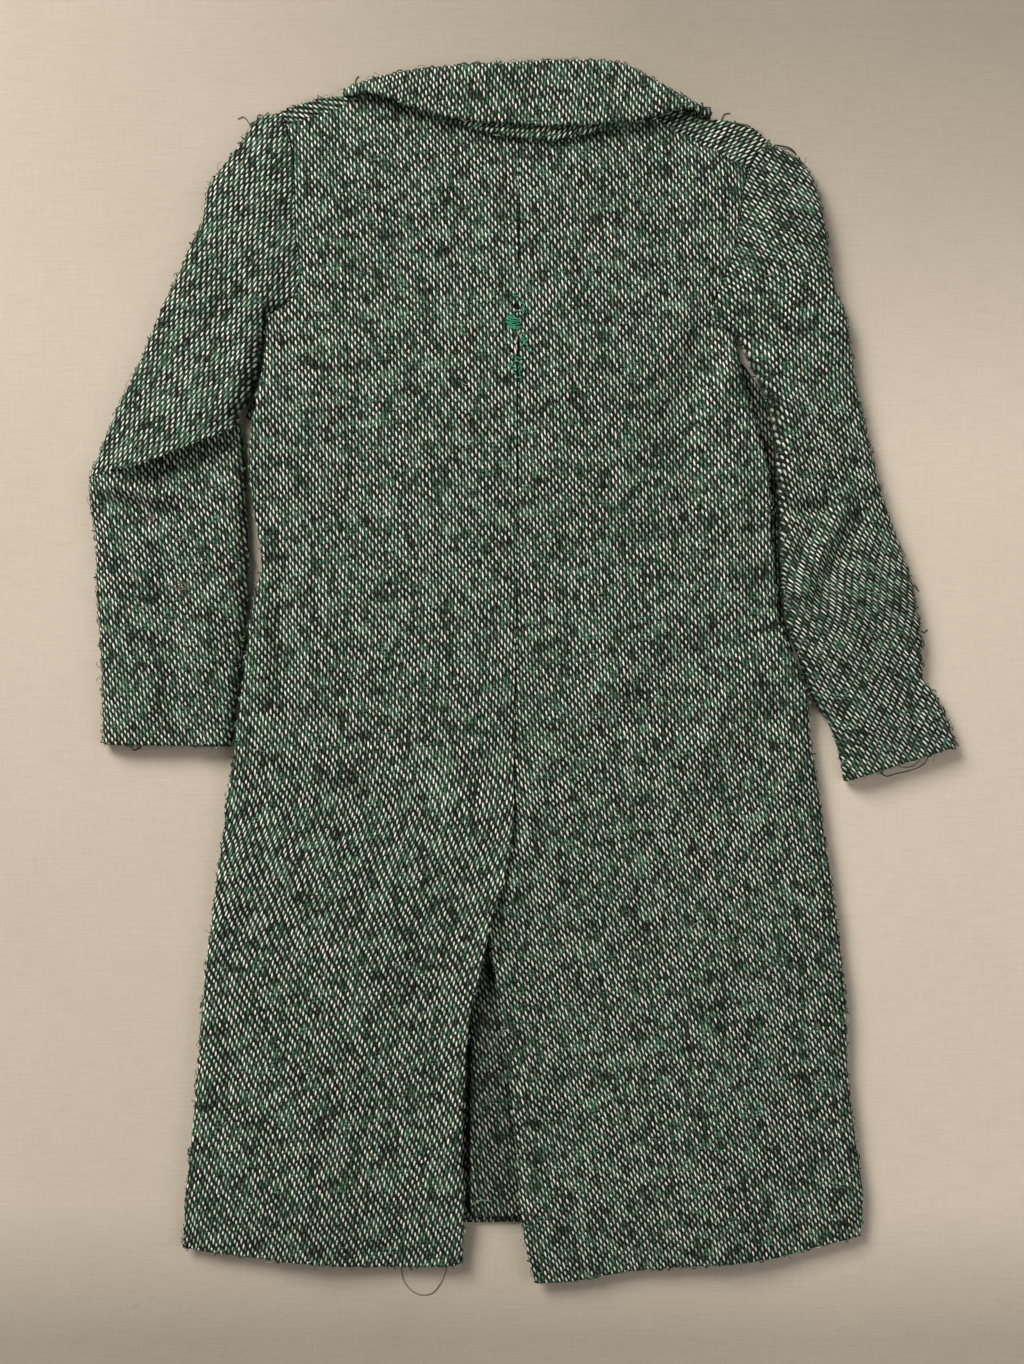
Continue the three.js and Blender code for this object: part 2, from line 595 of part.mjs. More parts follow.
// Closed wall of a tube that is open at both ends, from its outer and its inner rings
function openTube(outerRings, innerRings) {
  const outer = loft(outerRings);
  const inner = loft(innerRings);
  const { size } = outer;
  const toInner = outer.positions.length / 3;
  const faces = [...outer.faces, ...inner.faces.map((n) => n + toInner).reverse()];
  for (const start of [0, (outerRings.length - 1) * size]) {
    for (let j = 0; j < size; j += 1) {
      const a = start + j;
      const b = start + ((j + 1) % size);
      const rim = [a, a + toInner, b + toInner, a, b + toInner, b];
      faces.push(...(start === 0 ? rim : rim.reverse()));
    }
  }
  return solid([...outer.positions, ...inner.positions], faces);
}

// A sleeve: a flattened tube, open at the armhole and at the cuff
function sleeve(pastArmhole, armhole, folds) {
  const toOutside = -Math.sign(armhole[0].x) * GAP;
  const hole = beside([...armhole].reverse().map((row) => [row.x, row.y]), toOutside);
  const atArmhole = { outer: hole[0], inner: hole[hole.length - 1], loft: ARMHOLE_LOFT, overhang: 0 };
  const sections = [atArmhole, ...pastArmhole];
  const middles = sharesOf(hole).slice(1, -1);
  const place = (i, share) => {
    const { outer, inner } = sections[i];
    const fade = Math.max(0, 1 - i / CAP_SECTIONS) ** 3;
    const onHole = onPolyline(hole, share);
    const last = hole[hole.length - 1];
    const bulge = (k) => fade * (onHole[k] - lerp(hole[0][k], last[k], share));
    return [lerp(outer[0], inner[0], share) + bulge(0), lerp(outer[1], inner[1], share) + bulge(1)];
  };
  const topAt = (i, share) => {
    const { loft: rise, overhang } = sections[i];
    const [x, y] = place(i, share);
    const over = smooth((share - OVERHANG_FROM) / (OVERHANG_FULL - OVERHANG_FROM));
    const lift = rise + overhang * over;
    return FOLDED_EDGE + Math.max(LEAST_LOFT, (lift + foldsAt(folds, x, y)) * crown(share));
  };
  // Insets from the tube's two edges, and the heights there: around the outside and inside
  const outside = [[0, FOLDED_EDGE / 2], [ROUND_INSET, ROUND_HEIGHT]];
  const inside = [[CLOTH, FOLDED_EDGE / 2], [CLOTH + HALF_GAP, FOLDED_EDGE / 2 + HALF_GAP]];
  const ring = (i, insets, level, under) => {
    const { outer, inner } = sections[i];
    const width = Math.hypot(outer[0] - inner[0], outer[1] - inner[1]);
    const rise = insets.map(([inset, z]) => [...place(i, inset / width), z]);
    const fall = insets.map(([inset, z]) => [...place(i, 1 - inset / width), z]).reverse();
    const top = middles.map((share) => [...place(i, share), level(i, share)]);
    const flat = insets[1][0] / width;
    const base = [1 - flat, ...[...middles].reverse(), flat];
    return [...rise, ...top, ...fall, ...base.map((share) => [...place(i, share), under])];
  };
  const lowest = (i, share) => {
    const near = [i - 1, i, i + 1].filter((k) => k >= 0 && k < sections.length);
    const top = Math.min(...near.map((k) => topAt(k, share)));
    return Math.max(LAYER, top - CLOTH);
  };
  return openTube(
    sections.map((_, i) => ring(i, outside, topAt, 0)),
    sections.map((_, i) => ring(i, inside, lowest, CLOTH)),
  );
}

// Closed solid from the outlines of its sections, with both ends covered by strips.
// Each outline goes out along one face of the cloth and back along the other.
function strip(outlines) {
  const { positions, faces, size } = loft(outlines);
  const last = (outlines.length - 1) * size;
  for (let j = 0; j < size / 2 - 1; j += 1) {
    const k = size - 1 - j;
    const near = [j, k, k - 1, j, k - 1, j + 1];
    faces.push(...near);
    faces.push(...near.map((n) => n + last).reverse());
  }
  return solid(positions, faces);
}

const depthOf = (row) => Math.hypot(row.fall[0] - row.roll[0], row.fall[1] - row.roll[1]);
const standDepth = (row) => Math.min(STAND_DEPTH, depthOf(row) * TURN_SHARE);

// Point of a collar section, at a distance from the roll line towards the fall edge
function onSection(row, distance, z) {
  const share = distance / depthOf(row);
  return [lerp(row.roll[0], row.fall[0], share), lerp(row.roll[1], row.fall[1], share), z];
}

// Middle line of the cloth in one section of the collar, as distances from the roll line and
// heights: along the fall, round the roll and back beneath. Number counts the layers from the
// outside, and reach is how far the fall goes past its edge.
function collarLine(row, number, reach, underDepth) {
  const depth = depthOf(row);
  const topAt = (d) => {
    const [x, y] = onSection(row, d, 0);
    const onBack = d > standDepth(row) ? backTop(x, y) + 2 * LAYER + SLACK : 0;
    return Math.max(COLLAR_ROLL_TOP, onBack);
  };
  const inset = number * LAYER + CLOTH / 2;
  const radius = COLLAR_ROLL_TOP / 2 - inset;
  const bend = Math.min(radius, depth * NARROW_BEND);
  const centre = inset + bend;
  const line = [];
  for (let i = 0; i < FALL_STEPS; i += 1) {
    const d = lerp(depth + reach, centre, i / FALL_STEPS);
    line.push([d, topAt(d) - inset]);
  }
  for (let i = 0; i <= ROLL_STEPS; i += 1) {
    const turn = (Math.PI * i) / ROLL_STEPS;
    line.push([centre - bend * Math.sin(turn), inset + radius + radius * Math.cos(turn)]);
  }
  line.push([Math.max(centre + GAP, Math.min(underDepth, depth * TURN_SHARE)), inset]);
  return line;
}

// Outline of a collar section: its middle line moved out by half the cloth to each side
function collarSection(row, line) {
  const side = (sign) =>
    line.map(([d, z], i) => {
      const [d0, z0] = line[Math.max(0, i - 1)];
      const [d1, z1] = line[Math.min(line.length - 1, i + 1)];
      const run = Math.hypot(d1 - d0, z1 - z0);
      const out = (sign * CLOTH) / 2 / run;
      return onSection(row, d + (z1 - z0) * out, z - (d1 - d0) * out);
    });
  return [...side(1), ...side(-1).reverse()];
}

const garment = new THREE.Group();

function addPiece(name, geometry, color) {
  const material = new THREE.MeshStandardMaterial({ color, roughness: 0.95, metalness: 0 });
  const mesh = new THREE.Mesh(geometry, material);
  mesh.name = name;
  garment.add(mesh);
}

// The back: two panels sewn down the middle, parting at the vent
const backLeft = panelPlan({
  side: LEFT_EDGE,
  middle: LEFT_MIDDLE,
  hem: LEFT_HEM,
  top: BACK_TOP,
  columnsAt: [...SIDE_COLUMNS, ...LEFT_BACK_COLUMNS],
  rowsAtMiddle: [VENT_TOP, UNDERLAP_TOP],
});
const backRight = panelPlan({
  side: RIGHT_EDGE,
  middle: RIGHT_MIDDLE,
  hem: RIGHT_HEM,
  top: BACK_TOP,
  columnsAt: SIDE_COLUMNS,
  rowsAtMiddle: [VENT_TOP, UNDERLAP_TOP],
});
const leftBackTop = (x, y) => backTop(x, y) + ventLift(x, y);
addPiece('back_left', panel(backLeft, leftBackTop, clearOfUnderlap), COLOURS.back);
addPiece('back_right', panel(backRight, backTop, clearOfFronts), COLOURS.back);

// The fronts: flat on the surface, lapped in the middle. Their side edges are the back's.
function edgeAbove(edge, hemY) {
  const kept = edge.filter((row) => row.y > hemY + HEM_CLEAR);
  return [{ y: hemY, x: xAt(edge, hemY) }, ...kept];
}

// The right front's rounded lower corner, from its hem to its edge
const corner = [0, 0.5, 1].map((share) => {
  const angle = (share * Math.PI) / 2;
  return {
    x: RIGHT_FRONT_EDGE + FRONT_CORNER * (1 - Math.sin(angle)),
    y: RIGHT_FRONT_HEM + FRONT_CORNER * (1 - Math.cos(angle)),
  };
});
const frontLeft = panelPlan({
  side: edgeAbove(LEFT_EDGE, LEFT_FRONT_HEM),
  middle: [
    { x: LEFT_FRONT_EDGE, y: LEFT_FRONT_HEM },
    { x: LEFT_FRONT_EDGE, y: FRONT_NECK_Y },
  ],
  hem: [
    { x: xAt(LEFT_EDGE, LEFT_FRONT_HEM), y: LEFT_FRONT_HEM },
    { x: LEFT_FRONT_EDGE, y: LEFT_FRONT_HEM },
  ],
  top: LEFT_FRONT_TOP,
});
const frontRight = panelPlan({
  side: edgeAbove(RIGHT_EDGE, RIGHT_FRONT_HEM),
  middle: [...corner, { x: RIGHT_FRONT_EDGE, y: FRONT_NECK_Y }],
  hem: [
    { x: corner[0].x, y: RIGHT_FRONT_HEM },
    { x: xAt(RIGHT_EDGE, RIGHT_FRONT_HEM), y: RIGHT_FRONT_HEM },
  ],
  top: RIGHT_FRONT_TOP,
  columnsAt: LAP_COLUMNS,
  rowsAtMiddle: corner.slice(1).map((row) => row.y),
});
addPiece('front_left', panel(frontLeft, leftFrontTop, () => 0), COLOURS.front);
addPiece('front_right', panel(frontRight, rightFrontTop, () => 0), COLOURS.front);

addPiece('sleeve_left', sleeve(LEFT_SLEEVE, LEFT_ARMHOLE, LEFT_SLEEVE_FOLDS), COLOURS.sleeve);
addPiece('sleeve_right', sleeve(RIGHT_SLEEVE, RIGHT_ARMHOLE, RIGHT_SLEEVE_FOLDS), COLOURS.sleeve);

// The collar: an upper layer that turns under at the neck, and an under collar inside it
const upperCollar = COLLAR.map((row) => collarSection(row, collarLine(row, 0, 0, FACING_DEPTH)));
const underCollar = COLLAR.slice(UNDER_FROM, -UNDER_FROM).map((row) =>
  collarSection(row, collarLine(row, 1, row.peek, STAND_DEPTH)),
);
addPiece('collar_upper', strip(upperCollar), COLOURS.collar);
addPiece('collar_under', strip(underCollar), COLOURS.collar);

export default garment;
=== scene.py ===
"""The looks of a doll's tweed coat that lies flat, face down, with its back up.

The frame's origin is on the surface below the coat, under the middle of its outline. +X is to
the viewer's right, +Y runs up to the collar and +Z is up. Left and right are the viewer's.
Shapes are worked out in millimetres, and make_mesh turns them into metres.
"""

import logging
import math
from dataclasses import dataclass, field
from enum import Enum, auto
from typing import Callable

import bmesh
import bpy
import numpy as np
from bpy.types import ColorRamp, ID, Material, Mesh, Node, NodeSocket, NodeTree, Object
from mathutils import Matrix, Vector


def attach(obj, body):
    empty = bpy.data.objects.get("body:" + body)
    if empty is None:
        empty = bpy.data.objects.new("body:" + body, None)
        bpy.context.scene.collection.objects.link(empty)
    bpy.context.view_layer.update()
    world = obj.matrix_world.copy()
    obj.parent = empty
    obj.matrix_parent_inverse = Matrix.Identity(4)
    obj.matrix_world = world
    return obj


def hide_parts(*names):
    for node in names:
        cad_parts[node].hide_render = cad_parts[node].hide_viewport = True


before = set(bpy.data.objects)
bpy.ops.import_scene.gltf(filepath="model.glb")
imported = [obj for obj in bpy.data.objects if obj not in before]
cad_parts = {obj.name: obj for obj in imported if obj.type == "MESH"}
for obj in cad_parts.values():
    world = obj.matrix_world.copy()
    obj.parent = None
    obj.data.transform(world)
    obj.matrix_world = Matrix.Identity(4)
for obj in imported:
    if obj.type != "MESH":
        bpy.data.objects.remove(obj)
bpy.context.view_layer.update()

log = logging.getLogger("tweed_coat")
Array = np.ndarray
Rows = tuple[tuple[float, ...], ...]
Place = tuple[float, float, float]

MM = 0.001
BODY = "root"

# The cloth, and the layers it lies in
CLOTH = 1.0
GAP = 0.3
LAYER = CLOTH + GAP
SLACK = 0.25
FOLDED_EDGE = CLOTH + LAYER
SEAM_GAP = 0.03
FREE_ROUND = 0.46
SEAM_ROUND = 0.09
FLOOR_CLEAR = 0.02

# Finest step of a mesh, at the cloth's edges, and how far in the nubs of an edge are felt
FINE_STEP = 0.09
NUB_REACH = 0.7

# The weave
WARP_PITCH = 0.53
FLOAT_PITCH = 1.32
GREEN_EVERY = 14
WEAVE_MAP = "Weave"
FUZZ = "fuzz"
HUE = "hue"


def smooth(t: Array | float) -> Array:
    """Eases from 0 to 1 as t goes from 0 to 1."""
    t = np.clip(t, 0.0, 1.0)
    return t * t * (3 - 2 * t)


def lerp(a: Array | float, b: Array | float, t: Array | float) -> Array | float:
    """Blends from a to b as t goes from 0 to 1."""
    return a + (b - a) * t


def cubic(a: Array, b: Array, m: Array, n: Array, t: Array) -> Array:
    """Reads a smooth curve from a to b, with the slopes m and n there, as t goes from 0 to 1."""
    return (2 * a - 2 * b + m + n) * t**3 + (3 * b - 3 * a - 2 * m - n) * t**2 + m * t + a


def lengths_along(line: Array) -> Array:
    """Distance along a line of points from its start to each of them."""
    return np.concatenate([[0], np.cumsum(np.linalg.norm(np.diff(line, axis=0), axis=1))])


def turned(x: Array, y: Array, degrees: float) -> Array:
    """Pairs that say where places lie on axes turned by an angle."""
    c, s = math.cos(math.radians(degrees)), math.sin(math.radians(degrees))
    return np.stack([x * c + y * s, y * c - x * s], axis=-1)


def edge_fade(distance: Array) -> Array:
    """How much of an edge's nubs is felt at a distance from it."""
    return np.exp(-distance / NUB_REACH)


def nap_share(distance: Array, fade: float = 0.7) -> Array:
    """Share of the full nap at a distance from an edge, where it is thickest."""
    return 0.3 + 0.7 * np.exp(-distance / fade)


def add_object(name: str, data: ID) -> Object:
    """Puts a mesh, a light or a camera into the scene.

    Args:
        name: the object's name.
        data: what it holds.

    Returns:
        The object.
    """
    thing = bpy.data.objects.new(name, data)
    bpy.context.scene.collection.objects.link(thing)
    return thing


def quarter_round(distance: Array, radius: float) -> Array:
    """How far a rounded edge drops at a distance from its rim.

    Args:
        distance: distances from the rim.
        radius: radius of the rounding.

    Returns:
        The drop, from the radius at the rim to 0 one radius away.
    """
    t = np.clip(1 - distance / radius, 0.0, 1.0)
    return radius * (1 - np.sqrt(1 - t * t))


def graded(length: float, fine: float, coarse: float, growth: float = 1.4) -> Array:
    """Shares of a length with fine steps at both ends and coarse ones between.

    Args:
        length: the length to be divided.
        fine: the first and the last step.
        coarse: the longest step.
        growth: how much longer each step is than the one before it.

    Returns:
        Shares from 0 to 1.
    """
    steps, step = [], fine
    while sum(steps) < length / 2:
        steps.append(step)
        step = min(step * growth, coarse)
    run = np.cumsum([0.0, *steps, *reversed(steps)])
    return run / run[-1]


class Edge:
    """A smooth line through the rows of a table, read at its first column."""

    def __init__(self, rows: Rows, column: int = 1) -> None:
        """Works out the slopes at the rows.

        Args:
            rows: the table, in order of its first column, up or down.
            column: the column whose value is read.
        """
        ordered = sorted(rows)
        self.keys = np.array([row[0] for row in ordered], float)
        self.values = np.array([row[column] for row in ordered], float)
        run = np.diff(self.keys)
        rise = np.diff(self.values) / run
        self.slopes = np.zeros_like(self.keys)
        self.slopes[0], self.slopes[-1] = rise[0], rise[-1]
        same = rise[:-1] * rise[1:] > 0
        mean = np.where(same, 2 * rise[:-1] * rise[1:] / np.where(same, rise[:-1] + rise[1:], 1), 0)
        self.slopes[1:-1] = mean

    @property
    def low(self) -> float:
        """The table's lowest key."""
        return float(self.keys[0])

    @property
    def high(self) -> float:
        """The table's highest key."""
        return float(self.keys[-1])

    def at(self, key: Array | float) -> Array:
        """Reads the line at one key or several, held at its ends.

        Args:
            key: the keys.

        Returns:
            The line's values.
        """
        key = np.clip(np.asarray(key, float), self.low, self.high)
        i = np.clip(np.searchsorted(self.keys, key) - 1, 0, len(self.keys) - 2)
        h = self.keys[i + 1] - self.keys[i]
        t = (key - self.keys[i]) / h
        return cubic(self.values[i], self.values[i + 1], self.slopes[i] * h, self.slopes[i + 1] * h, t)


@dataclass(frozen=True)
class Unevenness:
    """Soft random heights over a plane, from a lattice with a fixed seed."""

    seed: int
    pitch: float
    depth: float
    size: int = 64

    def at(self, x: Array, y: Array | float = 0.0) -> Array:
        """Height at each place, from minus to plus the depth.

        Args:
            x: places across, in millimetres.
            y: places along.

        Returns:
            The heights.
        """
        lattice = np.random.default_rng(self.seed).uniform(-1, 1, (self.size, self.size))
        x, y = np.broadcast_arrays(np.asarray(x, float) / self.pitch, np.asarray(y, float) / self.pitch)
        i, j = np.floor(x).astype(int), np.floor(y).astype(int)
        s, t = smooth(x - i), smooth(y - j)
        corners = [lattice[(i + a) % self.size, (j + b) % self.size] for b in (0, 1) for a in (0, 1)]
        return self.depth * lerp(lerp(*corners[:2], s), lerp(*corners[2:], s), t)


@dataclass(frozen=True)
class Fold:
    """A soft ridge, or a trough where its rise is negative, between two places."""

    start: tuple[float, float]
    end: tuple[float, float]
    rise: float
    width: float

    def at(self, x: Array, y: Array) -> Array:
        """Rise of the fold at each place: it fades across its width and at its ends.

        Args:
            x: places across, in millimetres.
            y: places along.

        Returns:
            The heights.
        """
        (x0, y0), (x1, y1) = self.start, self.end
        length = math.hypot(x1 - x0, y1 - y0)
        along = ((x - x0) * (x1 - x0) + (y - y0) * (y1 - y0)) / length
        across = ((x - x0) * (y1 - y0) - (y - y0) * (x1 - x0)) / length
        past = np.maximum(0, np.maximum(-along, along - length))
        return self.rise * np.exp(-((across / self.width) ** 2) - (past / self.width) ** 2)


def fold_rows(*rows: tuple[float, ...]) -> tuple[Fold, ...]:
    """Folds from rows of x and y of the start, x and y of the end, rise and width."""
    return tuple(Fold(row[:2], row[2:4], *row[4:]) for row in rows)


def up_to(rows: Rows, y: float) -> Rows:
    """The rows of a table whose first value is no more than y."""
    return tuple(row for row in rows if row[0] <= y)


# Outline of the body: (y, x) of each side edge and armhole, from the hem up
LEFT_SIDE: Rows = (
    (-92.6, -54.2), (-90.0, -54.6), (-85.0, -54.3), (-77.0, -53.5), (-69.0, -52.7),
    (-61.0, -52.1), (-52.0, -51.4), (-44.0, -50.6), (-36.0, -49.6), (-28.0, -48.5),
    (-20.0, -47.5), (-10.0, -46.2), (-1.0, -45.0), (5.0, -44.2), (13.0, -43.0),
    (17.0, -42.0), (27.0, -43.3), (35.0, -44.0), (43.0, -43.0), (50.0, -41.7), (56.4, -41.2),
)
LEFT_ARMHOLE: Rows = (
    (56.4, -41.2), (58.3, -39.2), (60.4, -36.6), (63.5, -35.6), (70.0, -36.4),
    (76.0, -36.6), (82.0, -36.8), (86.5, -37.8), (90.1, -38.8),
)
RIGHT_SIDE: Rows = (
    (-90.6, 54.1), (-85.0, 54.5), (-76.0, 53.4), (-69.0, 52.4), (-61.0, 51.9),
    (-52.0, 51.6), (-44.0, 50.8), (-36.0, 49.8), (-28.0, 48.6), (-20.0, 47.4),
    (-10.0, 46.0), (-4.0, 45.4), (0.0, 44.1), (3.5, 42.5), (10.0, 40.7), (19.0, 39.9),
    (27.0, 39.4), (34.0, 38.7), (38.0, 37.7), (43.5, 36.1), (49.0, 34.8), (54.4, 33.4),
)
RIGHT_ARMHOLE: Rows = (
    (54.4, 33.4), (55.5, 31.2), (57.2, 30.0), (60.0, 30.9), (66.0, 33.3),
    (73.0, 34.7), (78.0, 35.4), (82.0, 36.9), (85.0, 39.4),
)

# Side edges of the fronts: those of the back up to where the sleeve hides them
LEFT_FRONT_SIDE: Rows = up_to(LEFT_SIDE, 35.0) + (
    (40.0, -43.8), (41.4, -44.8), (42.2, -44.7), (43.6, -43.6), (44.8, -43.1),
    (46.2, -42.7), (48.6, -42.2), (51.3, -41.8), (56.4, -41.2),
)
RIGHT_FRONT_SIDE: Rows = up_to(RIGHT_SIDE, -10.0) + (
    (-4.0, 45.3), (0.0, 44.4), (3.5, 43.4), (6.2, 42.6), (10.0, 41.8), (14.0, 41.5),
    (22.0, 41.1), (30.0, 40.8), (37.4, 40.3), (40.4, 39.9), (43.0, 39.2), (45.0, 38.4),
    (46.8, 37.5), (49.0, 36.0), (51.2, 34.3), (54.4, 33.4),
)

# Centre seam, and below it the free edges of the vent's two flaps, (y, x)
SEAM_BOTTOM_X = -1.5
SEAM_TOP_X = -0.6
VENT_TOP = -22.9
UNDERLAP_TOP = -26.6
UNDERLAP_WIDTH = 8.3
NECK_Y = 91.63
LEFT_MIDDLE: Rows = (
    (-94.9, -9.8), (-85.0, -9.5), (-77.0, -9.8), (-69.0, -9.5), (-60.0, -9.0), (-54.0, -8.4),
    (-50.0, -7.4), (-43.2, -5.8), (-39.5, -5.0), (-34.0, -3.4), (-29.0, -2.2),
    (VENT_TOP, SEAM_BOTTOM_X - SEAM_GAP), (NECK_Y, SEAM_TOP_X - SEAM_GAP),
)
RIGHT_MIDDLE: Rows = (
    (-98.0, 1.8), (-91.0, 0.2), (-85.0, -0.6), (-73.0, -1.4), (-62.7, -2.6), (-53.3, -3.6),
    (-44.6, -5.2), (UNDERLAP_TOP, SEAM_BOTTOM_X - UNDERLAP_WIDTH),
    (VENT_TOP, SEAM_BOTTOM_X + SEAM_GAP), (NECK_Y, SEAM_TOP_X + SEAM_GAP),
)

# Hems and top edges, (x, y), from the left
LEFT_HEM: Rows = (
    (-54.2, -92.6), (-47.9, -93.4), (-35.8, -94.7), (-23.4, -95.5), (-13.2, -95.5), (-9.8, -94.9),
)
RIGHT_HEM: Rows = (
    (1.8, -98.0), (5.4, -98.0), (12.4, -96.9), (19.4, -95.9), (33.5, -94.8),
    (40.6, -93.8), (47.0, -92.2), (54.1, -90.6),
)
BACK_TOP: Rows = (
    (-38.8, 90.1), (-34.2, 91.6), (-31.0, 92.4), (-29.3, 92.4), (-28.2, 92.3), (-27.0, 92.6),
    (-25.0, 93.0), (-23.0, 93.0), (-21.8, 92.2), (-20.4, 91.6), (-10.8, 91.1), (-3.0, 91.5),
    (5.0, 91.8), (11.0, 91.8), (15.5, 91.2), (19.0, 90.2),
    (22.5, 90.2), (24.0, 90.5), (26.0, 89.9), (28.6, 88.8), (30.0, 88.5), (31.4, 88.7),
    (34.8, 87.9), (37.8, 86.7), (39.4, 85.0),
)
FRONT_NECK_Y = 72.0
LEFT_FRONT_EDGE = 8.0
RIGHT_FRONT_EDGE = -8.6
LEFT_FRONT_HEM = -88.8
RIGHT_FRONT_HEM = -87.5
FRONT_CORNER = 1.7
LEFT_FRONT_TOP: Rows = (
    (-38.8, 90.1), (-34.2, 91.6), (-31.0, 92.3), (-29.3, 92.3), (-27.5, 91.2), (-23.5, 89.5),
    (-17.0, 83.0), (-9.0, 76.0), (0.0, 72.8), (LEFT_FRONT_EDGE, FRONT_NECK_Y),
)
RIGHT_FRONT_TOP: Rows = (
    (RIGHT_FRONT_EDGE, FRONT_NECK_Y), (0.0, 72.8), (9.0, 75.5), (17.0, 82.0), (23.0, 86.2),
    (28.6, 87.4), (30.0, 87.6), (31.4, 88.6), (34.8, 87.9), (37.8, 86.7), (39.4, 85.0),
)

# Folds of the back, and soft creases on the hidden side of the fronts
BODY_FOLDS = fold_rows(
    (-39.2, 13.0, -38.6, -1.0, -0.95, 1.5),
    (-38.0, -1.0, -37.2, -10.0, -0.6, 2.6),
    (-42.0, 9.0, -42.4, -2.0, 0.5, 1.8),
    (-35.2, 12.5, -34.0, -1.0, 0.3, 2.0),
    (-34.5, 57.0, -24.0, 30.0, -0.4, 4.0),
    (-36.0, 54.5, -31.5, 41.0, 0.3, 1.9),
    (-34.0, 60.0, -29.0, 52.0, 0.25, 1.6),
    (30.0, 53.0, 22.0, 36.0, -0.5, 3.6),
    (33.0, 50.0, 28.5, 38.0, 0.32, 2.0),
    (29.0, 58.0, 24.0, 51.0, 0.25, 1.7),
    (39.5, 14.0, 20.0, -2.0, -0.5, 3.4),
    (40.0, 2.0, 26.0, -13.0, 0.5, 3.8),
    (38.0, 22.0, 26.0, 16.0, -0.3, 2.4),
    (43.0, -6.0, 33.0, -14.0, -0.3, 2.2),
    (-30.0, -60.0, -34.0, -94.0, 0.5, 6.0),
    (-18.0, -66.0, -20.0, -93.0, -0.25, 4.0),
    (28.0, -50.0, 34.0, -93.0, 0.5, 7.0),
    (12.0, -62.0, 16.0, -94.0, -0.25, 4.5),
    (44.0, -40.0, 47.0, -88.0, -0.2, 4.0),
    (-45.0, -40.0, -48.0, -88.0, -0.2, 3.6),
    (-30.0, 86.0, -12.0, 80.0, 0.2, 3.0),
    (10.0, 80.0, 30.0, 82.0, 0.2, 3.2),
    (-6.0, 44.0, -2.0, 20.0, -0.18, 5.0),
    (12.0, 60.0, 16.0, 30.0, 0.16, 5.5),
    (-14.0, -20.0, -20.0, -44.0, 0.2, 4.5),
    (4.0, -28.0, 9.0, -52.0, -0.2, 3.6),
    (29.5, 58.0, 26.0, 42.0, -1.0, 2.0),
    (26.0, 40.0, 27.0, 26.0, -0.9, 2.1),
    (33.8, 36.0, 33.8, 17.0, 0.5, 2.2),
    (16.0, 20.0, 29.0, 22.5, -0.6, 1.5),
    (12.0, -3.5, 35.5, 11.5, 0.5, 2.3),
    (10.0, -8.8, 42.0, -7.5, -0.5, 2.0),
    (-43.0, -12.0, -28.0, -16.0, 0.45, 2.0),
    (-28.0, -16.0, -13.0, -20.0, 0.3, 2.2),
    (-41.0, -6.0, -26.0, -11.0, -0.5, 2.0),
    (22.0, 78.0, 28.0, 62.0, -0.5, 3.4),
    (-3.4, -34.0, -7.6, -54.0, 0.7, 2.6),
    (1.4, -21.0, -0.9, -37.0, 0.6, 1.4),
    (-8.2, -56.0, -10.4, -76.0, 0.45, 2.4),
    (-2.6, -48.0, 0.8, -70.0, 0.75, 2.4),
    (0.8, -70.0, 2.6, -86.0, 0.45, 2.6),
    (33.8, 47.0, 38.8, 33.0, 0.7, 1.5),
    (39.2, 31.0, 40.4, 12.0, 0.6, 1.4),
    (41.4, 7.0, 45.4, -6.0, 0.5, 1.5),
    (-43.6, 33.0, -42.0, 18.0, 0.55, 1.5),
    (-41.6, 47.0, -43.0, 37.0, 0.5, 1.4),
    (-38.0, 87.2, -27.5, 91.4, -0.2, 0.6),
    (22.5, 87.8, 35.9, 80.5, -0.3, 0.7),
)
FRONT_HOLLOWS = fold_rows(
    (-38.0, -24.0, -30.0, -46.0, 0.34, 3.2),
    (-24.0, -58.0, -27.0, -80.0, 0.42, 3.8),
    (-44.0, -62.0, -46.0, -78.0, 0.26, 2.6),
    (-30.0, 4.0, -18.0, -8.0, 0.3, 2.8),
    (-33.0, 44.0, -22.0, 24.0, 0.28, 3.0),
    (-24.0, 66.0, -18.0, 52.0, 0.22, 2.4),
    (20.0, -30.0, 27.0, -54.0, 0.38, 3.6),
    (38.0, -48.0, 41.0, -74.0, 0.3, 3.0),
    (17.0, -64.0, 19.0, -80.0, 0.24, 2.6),
    (34.0, -16.0, 22.0, -24.0, 0.26, 2.8),
    (15.5, 54.0, 17.5, 34.0, 0.24, 2.4),
    (28.0, 74.0, 22.0, 66.0, 0.2, 2.4),
)


